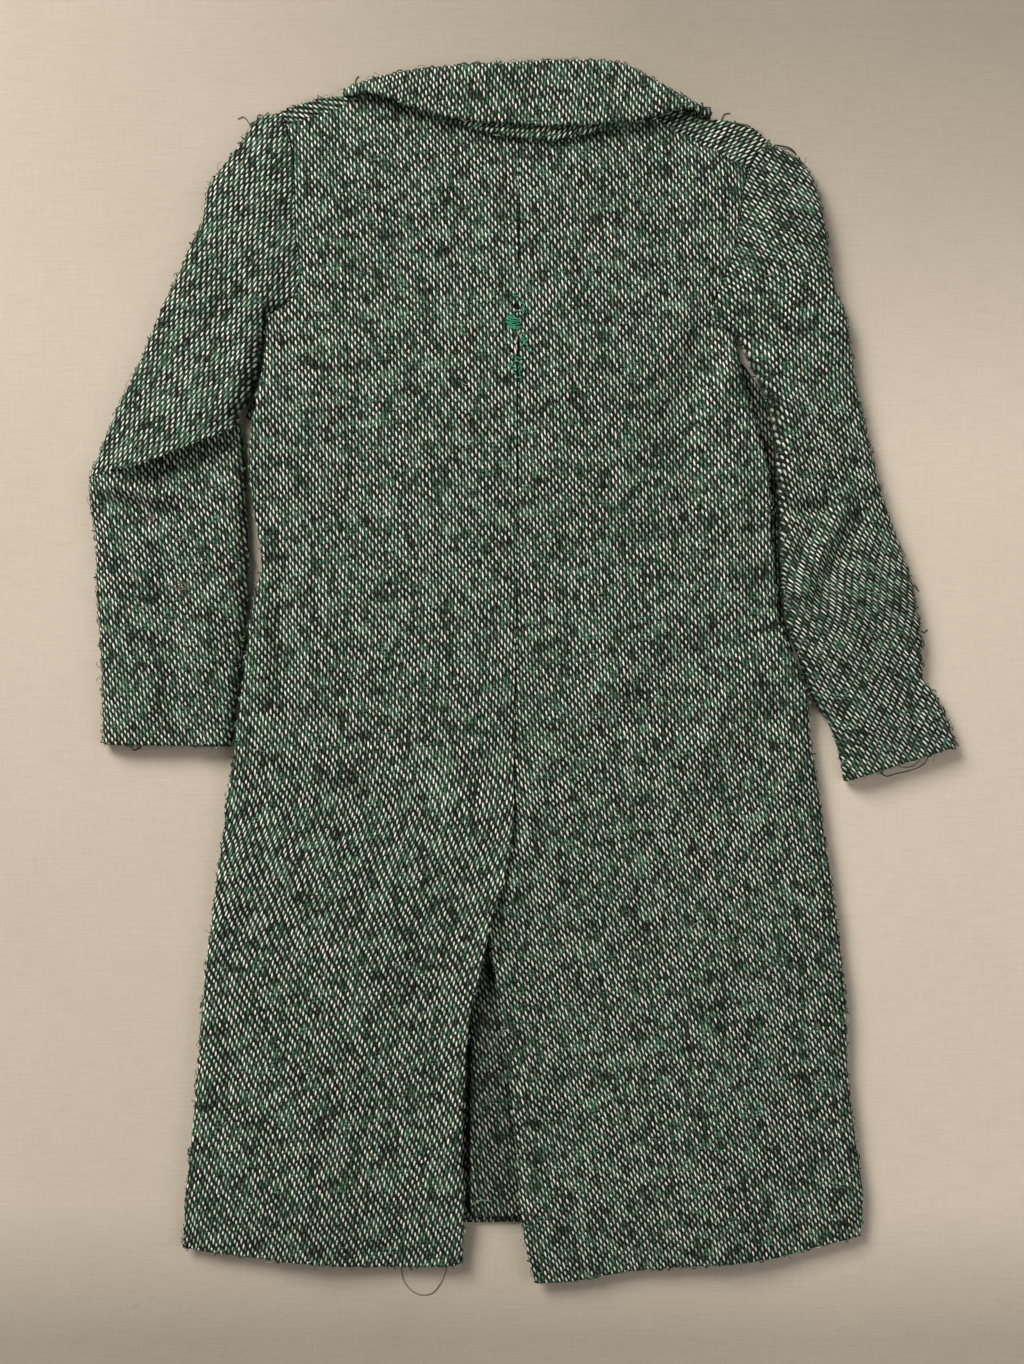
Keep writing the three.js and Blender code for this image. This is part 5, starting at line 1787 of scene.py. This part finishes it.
class Strands:
    """Round threads and yarns gathered into one mesh."""

    def __init__(self, sides: int = 6) -> None:
        """Starts with none.

        Args:
            sides: how many sides each strand has.
        """
        self.sides = sides
        self.points: list[Array] = []
        self.weave: list[Array] = []
        self.hues: list[Array] = []
        self.faces: list[tuple[int, ...]] = []
        self.count = 0

    def add(self, path: list[Place], radius: float, hue: float = 0.5,
            step: float = 0.12, taper: float = 0.5) -> None:
        """Adds one strand.

        Args:
            path: the places that it passes, in millimetres.
            radius: its radius.
            hue: its place in the range of the wool's colours.
            step: distance between its rings.
            taper: share of the radius that is left at its ends.
        """
        route = np.array(path, float)
        chord = lengths_along(route)
        rings = max(4, int(chord[-1] / step))
        at = np.linspace(0, chord[-1], rings)
        line = np.stack([self.spline(chord, route[:, k], at) for k in range(3)], -1)
        ahead = np.gradient(line, axis=0)
        ahead /= np.linalg.norm(ahead, axis=1, keepdims=True)
        side = np.cross(ahead, (0.0, 0.0, 1.0))
        weak = np.linalg.norm(side, axis=1) < 1e-3
        side[weak] = (1.0, 0.0, 0.0)
        side /= np.linalg.norm(side, axis=1, keepdims=True)
        up = np.cross(side, ahead)
        turn = 2 * np.pi * np.arange(self.sides) / self.sides
        ends = np.clip(np.minimum(at, at[-1] - at) / (2 * radius), 0, 1)
        thick = radius * lerp(taper, 1.0, smooth(ends))[:, None, None]
        circle = side[:, None] * np.cos(turn)[None, :, None] + up[:, None] * np.sin(turn)[None, :, None]
        self.points.append((line[:, None] + circle * thick).reshape(-1, 3))
        around = np.broadcast_to(turn / (2 * np.pi) / MM, (rings, self.sides))
        self.weave.append(np.stack([around, np.broadcast_to(at[:, None], around.shape)], -1).reshape(-1, 2))
        self.hues.append(np.full(rings * self.sides, hue))
        number = self.count + np.arange(rings * self.sides).reshape(rings, self.sides)
        self.faces += grid_faces(np.concatenate([number, number[:, :1]], axis=1), flip=True)
        self.faces.append(tuple(number[0].tolist()))
        self.faces.append(tuple(number[-1][::-1].tolist()))
        self.count += rings * self.sides

    @staticmethod
    def spline(keys: Array, values: Array, at: Array) -> Array:
        """Reads a smooth curve through the values.

        Args:
            keys: where the values are.
            values: the values.
            at: where to read.

        Returns:
            What is read there.
        """
        slopes = np.gradient(values, keys)
        i = np.clip(np.searchsorted(keys, at) - 1, 0, len(keys) - 2)
        h = keys[i + 1] - keys[i]
        t = (at - keys[i]) / h
        return cubic(values[i], values[i + 1], slopes[i] * h, slopes[i + 1] * h, t)

    def make(self, name: str, material: Material) -> Object:
        """Makes one object of all the strands.

        Args:
            name: the object's name.
            material: its finish.

        Returns:
            The object.
        """
        points = np.concatenate(self.points)
        points[:, 2] = np.maximum(points[:, 2], FLOOR_CLEAR)
        cloth = ClothMesh(points, self.faces, np.concatenate(self.weave), 0 * points[:, 0])
        piece = make_mesh(name, cloth, material)
        hue = piece.data.attributes.new(HUE, "FLOAT", "POINT")
        hue.data.foreach_set("value", np.concatenate(self.hues).astype(np.float32))
        return piece


class Slot(Enum):
    """The record's material slots."""

    BACK = "tweed_back"
    FRONT = "tweed_front"
    SLEEVE = "tweed_sleeve"
    COLLAR = "tweed_collar"
    DARN = "darning_thread"
    YARN = "loose_yarn"


class Surface:
    """The coat's upper surface, as seen from straight above."""

    def __init__(self, pieces: list[Object]) -> None:
        """Holds the pieces of cloth."""
        bpy.context.view_layer.update()
        self.pieces = pieces

    def height(self, x: float, y: float) -> float:
        """Height in millimetres of the highest cloth at a place, or of the floor.

        Args:
            x: places across, in millimetres.
            y: places along.

        Returns:
            The height.
        """
        start, down = (x * MM, y * MM, 0.05), (0.0, 0.0, -1.0)
        hits = [piece.ray_cast(start, down) for piece in self.pieces]
        return max([0.0, *(place[2] / MM for hit, place, _, _ in hits if hit)])


# Each stitch of the darn and each loose thread passes places (x, y, lift above the cloth). A place
# without a lift is an end that is tucked into the cloth
TUCKED = -0.05
Route = tuple[tuple[float, ...], ...]
DARN_STITCHES: tuple[Route, ...] = (
    ((-2.7, 56.75), (-1.7, 56.6, 0.2), (-0.6, 56.1)),
    ((-2.85, 56.35), (-1.7, 56.0, 0.24), (-0.45, 55.95)),
    ((-2.75, 55.8), (-1.65, 55.35, 0.2), (-0.5, 55.6)),
    ((-2.6, 55.35), (-1.5, 55.05, 0.2), (-0.3, 55.1)),
    ((-1.7, 54.65), (-1.2, 54.75, 0.16), (-0.5, 54.6)),
    ((-2.3, 56.9), (-2.0, 57.0, 0.12), (-1.6, 56.8)),
    ((-1.7, 57.4), (-1.15, 57.65, 0.18), (-0.5, 57.5)),
    ((-0.75, 59.3), (-0.3, 58.8, 0.2), (0.2, 58.5, 0.12), (-0.3, 58.05)),
    ((-1.8, 60.3), (-1.3, 60.5, 0.16), (-1.6, 59.95)),
    ((0.0, 54.3), (-0.35, 53.7, 0.2), (-0.05, 53.2, 0.15), (-0.4, 52.7)),
    ((-0.35, 51.95), (0.05, 52.4, 0.2), (0.6, 52.0, 0.16), (0.9, 51.3, 0.12), (1.5, 51.05)),
    ((-1.5, 49.95), (-1.1, 50.25, 0.18), (-0.6, 50.0, 0.1), (-0.05, 50.25)),
    ((-1.8, 48.8), (-1.25, 48.55, 0.18), (-1.65, 48.0, 0.14), (-1.1, 47.45)),
    ((-1.0, 47.05), (-0.6, 46.95, 0.12), (-0.2, 46.65)),
    ((-2.6, 56.55), (-1.4, 56.3, 0.22), (-0.5, 56.35)),
    ((-2.4, 55.1), (-1.4, 54.8, 0.2), (-0.4, 54.95)),
    ((-2.9, 56.0), (-2.0, 55.75, 0.24), (-1.0, 55.8)),
    ((-0.5, 56.9), (0.0, 57.2, 0.18), (-0.3, 57.7, 0.1), (-0.8, 57.9)),
    ((0.3, 53.6), (0.6, 53.0, 0.2), (0.2, 52.6, 0.14), (0.5, 52.1)),
    ((-2.3, 50.4), (-1.7, 50.6, 0.18), (-1.2, 50.45)),
    ((-1.6, 49.4), (-1.0, 49.6, 0.2), (-0.5, 49.2, 0.12), (-0.9, 48.8)),
    ((-0.6, 49.0), (-0.3, 48.4, 0.18), (-0.7, 47.9, 0.12), (-0.4, 47.4)),
    ((-2.0, 49.5), (-1.9, 49.0, 0.16), (-2.1, 48.5)),
    ((-1.4, 59.9), (-1.0, 60.0, 0.18), (-0.6, 59.6)),
    ((-35.9, 65.2), (-35.5, 64.7, 0.16), (-35.8, 64.1, 0.1), (-35.4, 63.6)),
    ((-35.6, 63.2), (-35.9, 62.6, 0.14), (-35.5, 62.1)),
)
PALE_STITCHES: tuple[Route, ...] = (
    ((-0.5, 54.6), (-0.75, 54.15, 0.16), (-0.95, 53.75, 0.0)),
    ((-1.0, 53.6, 0.0), (-1.1, 53.1, 0.16), (-1.15, 52.5, -0.03)),
    ((-1.15, 52.3, -0.03), (-1.12, 51.8, 0.14), (-1.1, 51.3)),
)

# Brown tangles on the left sleeve below the elbow, and a fleck lower down
LINT: tuple[Route, ...] = (
    ((-60.1, 25.5, 0.3), (-59.8, 24.8, 0.4), (-59.2, 25.0, 0.4), (-59.0, 24.3, 0.35), (-59.8, 24.1, 0.3)),
    ((-60.2, 24.4, 0.3), (-59.5, 24.5, 0.45), (-59.2, 25.3, 0.3)),
    ((-55.6, 20.9, 0.3), (-55.0, 21.3, 0.45), (-54.3, 21.0, 0.4), (-53.7, 21.7, 0.3)),
    ((-55.4, 21.4, 0.3), (-54.8, 20.8, 0.45), (-54.2, 21.3, 0.3)),
    ((-57.1, 14.2, 0.3), (-56.2, 13.8, 0.4), (-55.2, 13.3, 0.4), (-54.0, 13.1, 0.4), (-53.0, 13.7, 0.4)),
    ((-55.2, 14.1, 0.3), (-54.4, 14.3, 0.5), (-53.7, 13.8, 0.45), (-54.4, 13.4, 0.4), (-55.0, 13.7, 0.3)),
    ((-54.4, -8.6, 0.2), (-53.8, -9.0, 0.3), (-53.1, -8.7, 0.2)),
)

# Holes worn beside the darn: x and y of the middle, half the width and half the height
WORN_HOLES = (
    (-1.2, 58.4, 0.55, 0.65), (-1.5, 53.8, 0.45, 0.55), (-0.8, 52.0, 0.4, 1.1), (-1.9, 51.3, 0.5, 0.4),
)

# Loose yarns: (radius, share of the wool's colours, route). A lift of DOWN is on the floor
DOWN = -9.0
LOOSE_YARNS: tuple[tuple[float, float, Route], ...] = (
    (0.11, 0.30, ((32.5, 88.3, 0.0), (34.6, 88.6, 0.2), (36.4, 88.2, 0.3), (37.5, 87.4, 0.1),
                  (38.3, 86.9, -0.6))),
    (0.13, 0.22, ((38.2, 82.6, 0.0), (39.8, 83.9, 0.2), (41.4, 85.0, 0.3), (42.9, 84.7, 0.2),
                  (43.9, 84.1, -0.7))),
    (0.12, 0.05, ((43.5, 84.35, -0.1), (43.9, 83.9, -0.5), (44.1, 83.6, -0.9))),
    (0.05, 0.28, ((-18.7, -95.3, 0.0), (-19.7, -96.4, DOWN), (-19.4, -98.1, DOWN), (-18.2, -99.9, DOWN),
                  (-16.6, -100.7, DOWN), (-14.9, -100.5, DOWN), (-13.4, -98.9, DOWN), (-12.5, -96.9, DOWN),
                  (-12.4, -95.3, 0.0))),
    (0.07, 0.36, ((57.2, -14.3, -1.2), (57.6, -15.9, DOWN), (58.6, -16.8, DOWN), (60.4, -16.4, DOWN),
                  (62.2, -16.0, DOWN), (64.6, -15.0, DOWN), (65.2, -13.2, -1.2))),
    (0.06, 0.30, ((60.0, -13.9, -1.4), (61.4, -15.4, DOWN), (63.0, -15.2, DOWN), (63.9, -13.6, -1.2))),
    (0.09, 0.72, ((-8.6, -86.2, 0.2), (-8.0, -85.2, 0.3), (-6.6, -84.6, 0.3), (-5.0, -84.9, 0.2))),
    (0.08, 0.26, ((62.0, 13.4, -1.0), (63.4, 13.9, -1.6), (64.0, 13.0, DOWN))),
    (0.07, 0.30, ((63.9, 7.0, -1.2), (64.9, 6.4, DOWN), (65.4, 6.9, DOWN))),
    (0.10, 0.25, ((-62.6, -11.6, -0.6), (-62.7, -12.6, -1.4), (-62.1, -12.3, -1.2), (-61.8, -11.6, -0.6))),
    (0.07, 0.30, ((-27.2, 94.6, -0.6), (-27.0, 96.0, -2.4), (-26.6, 96.4, -3.0))),
    (0.07, 0.28, ((32.0, 89.0, -1.0), (32.5, 90.2, -2.6), (33.5, 90.4, -3.2))),
    (0.06, 0.33, ((-9.0, 97.0, -1.0), (-8.4, 98.2, -2.8), (-7.6, 98.3, -3.2))),
    (0.06, 0.30, ((-44.2, 88.6, -1.0), (-45.4, 89.8, -2.6), (-46.2, 89.4, DOWN))),
)


@dataclass
class LooseThreads:
    """The darn in the upper back and the frayed yarns, laid on the cloth's surface."""

    surface: Surface
    thread_radius: float = 0.105
    float_radius: float = 0.12
    lint_radius: float = 0.09

    def laid(self, route: Route, radius: float) -> list[Place]:
        """Lays a route on the cloth, or on the floor past the cloth's edge.

        Args:
            route: the route.
            radius: the strand's radius.

        Returns:
            The places.
        """
        laid = []
        for x, y, *lift in route:
            z = self.surface.height(x, y) + (lift[0] if lift else TUCKED) + radius
            laid.append((x, y, max(radius + FLOOR_CLEAR, z)))
        return laid

    def strands(self, rows: list[tuple[float, float, Route]]) -> Strands:
        """Lays a strand for each row of radius, hue and route.

        Args:
            rows: the rows.

        Returns:
            The strands.
        """
        strands = Strands()
        for radius, hue, route in rows:
            strands.add(self.laid(route, radius), radius, hue)
        return strands

    def build(self) -> list[tuple[Object, Slot]]:
        """Makes the stitches, the lint and the yarns.

        Returns:
            Each piece with its material slot.
        """
        green = Thread("darning_thread", (0.055, 0.43, 0.23))
        pale = Thread("pale_yarn", (0.70, 0.63, 0.54), twist_pitch=0.5)
        brown = Thread("brown_lint", (0.20, 0.15, 0.10))
        plain = (
            ("darn_stitches", green, Slot.DARN, self.thread_radius, DARN_STITCHES),
            ("darn_floats", pale, Slot.YARN, self.float_radius, PALE_STITCHES),
            ("sleeve_lint", brown, Slot.YARN, self.lint_radius, LINT),
        )
        made = []
        for name, finish, slot, radius, routes in plain:
            strands = self.strands([(radius, 0.5, route) for route in routes])
            made.append((strands.make(name, finish.make()), slot))
        yarns = self.strands(list(LOOSE_YARNS)).make("loose_yarns", Wool("frayed_yarn").make())
        return [*made, (yarns, Slot.YARN)]


@dataclass
class Studio:
    """The pale floor, the soft lights and the camera straight above the coat."""

    view_centre: tuple[float, float] = (-0.00184, -0.0016)
    view_height: float = 0.21824
    coat_height: float = 0.003
    focal: float = 45.0
    sensor: float = 36.0
    floor_half: float = 0.9
    floor_level: float = -0.00004

    def floor_finish(self) -> Material:
        """A plain pale floor with faint mottling, with painted shade that darkens it towards the top and the
        bottom and painted light that brightens it a little towards the right.

        Returns:
            The material.
        """
        material, graph, shader = new_material("floor_finish")
        place = graph.wire(graph.add("ShaderNodeTexCoord"), "Object")
        x, y = graph.split(place)
        cloud = graph.noise(place, 30.0, 4.0)
        picks = graph.noise(graph.vector(x * 0.12, y * 1.6), 1500.0, 2.0, 0.7)
        ends = graph.noise(graph.vector(x * 1.6, y * 0.12, 0.4), 1500.0, 2.0, 0.7)
        grain = 0.62 * picks + 0.38 * ends
        # Painted shade darkens the floor towards its top and bottom, and painted light brightens it a little
        # towards the right.
        top = ((y - 0.035) / 0.07).held() * ((x + 0.105) / 0.125).held()
        bottom = ((-0.086 - y) / 0.022).held()
        side = ((x + 0.02) / 0.07).held() * (1.0 - top) * 0.14
        painted_floor_light = (1.0 + side) * (1.0 - 0.40 * top.maths("MAXIMUM", top, bottom * 0.85))
        colour = graph.mix((0.585, 0.505, 0.41), (0.645, 0.565, 0.465), cloud)
        colour = graph.mix(colour, (0.45, 0.385, 0.305), ((grain - 0.40) * 2.0).held() * 0.6)
        colour = graph.mix(colour, graph.vector(painted_floor_light, painted_floor_light, painted_floor_light), 1.0, "MULTIPLY")
        normal = graph.bump(grain, 0.25, 0.0001)
        graph.tree.links.new(colour.socket, shader.inputs["Base Color"])
        graph.tree.links.new(normal.socket, shader.inputs["Normal"])
        shader.inputs["Roughness"].default_value = 0.9
        shader.inputs["Specular IOR Level"].default_value = 0.2
        return material

    def build(self) -> None:
        """Makes the floor, the lights and the camera."""
        half, level = self.floor_half, self.floor_level
        mesh = bpy.data.meshes.new("floor")
        corners = [(-half, -half, level), (half, -half, level), (half, half, level), (-half, half, level)]
        mesh.from_pydata(corners, [], [(0, 1, 2, 3)])
        mesh.materials.append(self.floor_finish())
        add_object("floor", mesh)
        self.light("window", (-0.36, 0.44, 0.48), (0.0, 0.0, 0.0), 0.34, 5.9, (1.0, 0.972, 0.935))
        self.light("fill_left", (-0.30, -0.02, 0.34), (-0.1, 0.0, 0.0), 0.30, 0.24, (1.0, 0.975, 0.94))
        self.light("fill_right", (0.31, -0.04, 0.34), (0.1, 0.0, 0.0), 0.30, 0.50, (1.0, 0.975, 0.94))
        world = bpy.data.worlds.new("studio")
        world.use_nodes = True
        shade = world.node_tree.nodes["Background"]
        shade.inputs["Color"].default_value = (1.0, 0.98, 0.95, 1.0)
        shade.inputs["Strength"].default_value = 0.12
        bpy.context.scene.world = world
        bpy.context.scene.view_settings.view_transform = "Standard"
        self.camera()

    @staticmethod
    def light(name: str, place: Place, target: Place,
              size: float, power: float, colour: Place) -> None:
        """Adds a soft square light that faces a target.

        Args:
            name: its name.
            place: where it is.
            target: what it faces.
            size: its side.
            power: its power in watts.
            colour: its colour.
        """
        data = bpy.data.lights.new(name, "AREA")
        data.size, data.energy, data.color = size, power, colour
        lamp = add_object(name, data)
        lamp.location = place
        away = Vector(place) - Vector(target)
        lamp.rotation_euler = away.to_track_quat("Z", "Y").to_euler()

    def camera(self) -> None:
        """Adds the camera, straight above, with the collar at the top of the picture."""
        data = bpy.data.cameras.new("camera")
        data.lens, data.sensor_width, data.clip_start = self.focal, self.sensor, 0.01
        camera = add_object("camera", data)
        distance = self.view_height * self.focal / self.sensor
        camera.location = (*self.view_centre, self.coat_height + distance)
        bpy.context.scene.camera = camera


@dataclass
class Coat:
    """The whole coat: its cut pieces of cloth, each in place of its plain solid."""

    drape: Drape = field(default_factory=Drape)

    def back_panels(self) -> list[Panel]:
        """The two back panels, which part below the centre seam."""
        drape = self.drape
        return [
            Panel(
                name="cloth_back_left", side=drape.left_edge, middle=Edge(LEFT_MIDDLE),
                hem=drape.left_hem, top=drape.top_edge, grain=Grain.LEFT_BACK,
                side_from=-92.6, middle_from=-94.9, middle_to=NECK_Y,
                top_of=drape.left_back, clear_of=drape.clear_of_underlap, seam_from=VENT_TOP,
                shoulder=LEFT_SHOULDER, shoulder_grain=Grain.LEFT_SHOULDER,
            ),
            Panel(
                name="cloth_back_right", side=drape.right_edge, middle=Edge(RIGHT_MIDDLE),
                hem=drape.right_hem, top=drape.top_edge, grain=Grain.RIGHT_BACK,
                side_from=-90.6, middle_from=-98.0, middle_to=NECK_Y,
                top_of=drape.back, clear_of=drape.clear_of_fronts, seam_from=VENT_TOP,
                shoulder=RIGHT_SHOULDER, shoulder_grain=Grain.RIGHT_SHOULDER,
            ),
        ]

    def front_panels(self) -> list[Panel]:
        """The two fronts, flat on the surface and lapped in the middle.

        Returns:
            The panels.
        """
        drape = self.drape
        turn = np.linspace(0, np.pi / 2, 6)
        corner = tuple(zip(
            (RIGHT_FRONT_HEM + FRONT_CORNER * (1 - np.cos(turn))).tolist(),
            (RIGHT_FRONT_EDGE + FRONT_CORNER * (1 - np.sin(turn))).tolist(),
        ))

        def level(y: float) -> Edge:
            """A straight edge at one height."""
            return Edge(((-60.0, y), (60.0, y)))

        def floor(x: Array, y: Array) -> Array:
            """The surface that the fronts lie on."""
            return np.zeros(np.broadcast(x, y).shape)

        coarse = {"row_step": 0.8, "column_step": 1.6, "seam_from": 200.0, "clear_of": floor}
        return [
            Panel(
                name="cloth_front_left", side=drape.left_front_edge,
                middle=Edge(((LEFT_FRONT_HEM, LEFT_FRONT_EDGE), (FRONT_NECK_Y, LEFT_FRONT_EDGE))),
                hem=level(LEFT_FRONT_HEM), top=Edge(LEFT_FRONT_TOP), grain=Grain.LEFT_BACK,
                side_from=LEFT_FRONT_HEM, middle_from=LEFT_FRONT_HEM, middle_to=FRONT_NECK_Y,
                top_of=drape.left_front, **coarse,
            ),
            Panel(
                name="cloth_front_right", side=drape.right_front_edge,
                middle=Edge((*corner, (FRONT_NECK_Y, RIGHT_FRONT_EDGE))),
                hem=level(RIGHT_FRONT_HEM), top=Edge(RIGHT_FRONT_TOP), grain=Grain.RIGHT_BACK,
                side_from=RIGHT_FRONT_HEM, middle_from=RIGHT_FRONT_HEM, middle_to=FRONT_NECK_Y,
                top_of=drape.right_front, **coarse,
            ),
        ]

    def sleeves(self) -> list[Sleeve]:
        """The two sleeves: the left one folds over itself at the elbow."""
        return [
            Sleeve(
                name="cloth_sleeve_left", sections=LEFT_SLEEVE, armhole=LEFT_ARMHOLE,
                side=self.drape.left_edge, elbow=13.5,
                upper_grain=Grain.LEFT_UPPER_SLEEVE, lower_grain=Grain.LEFT_LOWER_SLEEVE,
                folds=LEFT_SLEEVE_FOLDS, hollows=LEFT_SLEEVE_HOLLOWS,
            ),
            Sleeve(
                name="cloth_sleeve_right", sections=RIGHT_SLEEVE, armhole=RIGHT_ARMHOLE,
                side=self.drape.right_edge,
                upper_grain=Grain.RIGHT_SLEEVE, lower_grain=Grain.RIGHT_SLEEVE,
                folds=RIGHT_SLEEVE_FOLDS, hollows=RIGHT_SLEEVE_HOLLOWS,
            ),
        ]

    def collar(self) -> list[CollarLayer]:
        """The collar's upper layer, and the under collar inside it."""
        return [
            CollarLayer(name="cloth_collar_upper", drape=self.drape, number=0,
                        first=0.0, last=12.0, under_depth=2.6, turn=4.0),
            CollarLayer(name="cloth_collar_under", drape=self.drape, number=1,
                        first=2.0, last=10.0, under_depth=5.6, turn=42.0),
        ]


def ride(piece: Object, slot: Slot, node: str | None = None) -> None:
    """Puts a piece on the coat's body.

    Args:
        piece: the piece.
        slot: the material slot of its finish, which is not used.
        node: the plain solid that it stands for, if it stands for one.
    """
    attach(piece, BODY)
    if node is not None:
        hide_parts(node)
    log.info("%s: %d faces", piece.name, len(piece.data.polygons))


# Cut of what shows, in metres: width, length and area, and what each piece lies on
CUTS: dict[str, tuple[float, float, float, tuple[str, ...]]] = {
    "cloth_back_left": (0.054, 0.188, 0.0081, ("cloth_front_left", "cloth_front_right")),
    "cloth_back_right": (0.064, 0.190, 0.0088, ("cloth_front_right",)),
    "cloth_front_left": (0.063, 0.181, 0.0093, ()),
    "cloth_front_right": (0.063, 0.176, 0.0090, ("cloth_front_left",)),
    "cloth_sleeve_left": (0.056, 0.106, 0.0041, ()),
    "cloth_sleeve_right": (0.050, 0.106, 0.0036, ()),
    "cloth_collar_upper": (0.061, 0.019, 0.00077, ("cloth_back_left", "cloth_back_right")),
    "cloth_collar_under": (0.045, 0.020, 0.0006, ("cloth_back_left", "cloth_back_right")),
}


def declare() -> None:
    """Goes through the cut of each piece of cloth and finds which of its naps are in the scene.
    """
    for name, (width, length, area, below) in CUTS.items():
        naps = (name.replace("cloth", label) for label in ("fuzz", "nubs"))
        going = [nap for nap in naps if nap in bpy.data.objects]


def main() -> None:
    """Builds the coat and the studio, and goes through the cut of each piece."""
    logging.basicConfig(level=logging.INFO, format="%(name)s: %(message)s")
    coat = Coat()
    finishes = {
        Slot.BACK: Tweed("tweed_back", holes=WORN_HOLES).make(),
        # The fronts' darker copy of the tweed is painted shade for the shadow beneath the back.
        Slot.FRONT: Tweed("tweed_front", shade=0.66).make(),
        Slot.SLEEVE: Tweed("tweed_sleeve").make(),
        Slot.COLLAR: Tweed("tweed_collar", slant=0.42).make(),
    }
    wool = Wool("loose_wool").make()
    cut = [
        *((panel, Slot.BACK) for panel in coat.back_panels()),
        *((panel, Slot.FRONT) for panel in coat.front_panels()),
        *((sleeve, Slot.SLEEVE) for sleeve in coat.sleeves()),
        *((layer, Slot.COLLAR) for layer in coat.collar()),
    ]
    cloths = {}
    for part, slot in cut:
        piece = make_mesh(part.name, part.build(), finishes[slot])
        ride(piece, slot, part.name.replace("cloth_", ""))
        cloths[part.name] = piece
    furry = [piece for name, piece in cloths.items() if "front" not in name]
    naps = (
        Nap("fuzz", density=0.45e6, length=0.0011, thickness=0.00006, edges=1.6, seed=11),
        Nap("nubs", density=1.6e6, length=0.0006, thickness=0.00017, edges=5.0, seed=41),
    )
    for nap in naps:
        for hairs in nap.grow_on(furry, wool):
            ride(hairs, Slot.YARN)
    for piece, slot in LooseThreads(Surface(list(cloths.values()))).build():
        ride(piece, slot)
    Studio().build()
    declare()


if __name__ == "__main__":
    main()
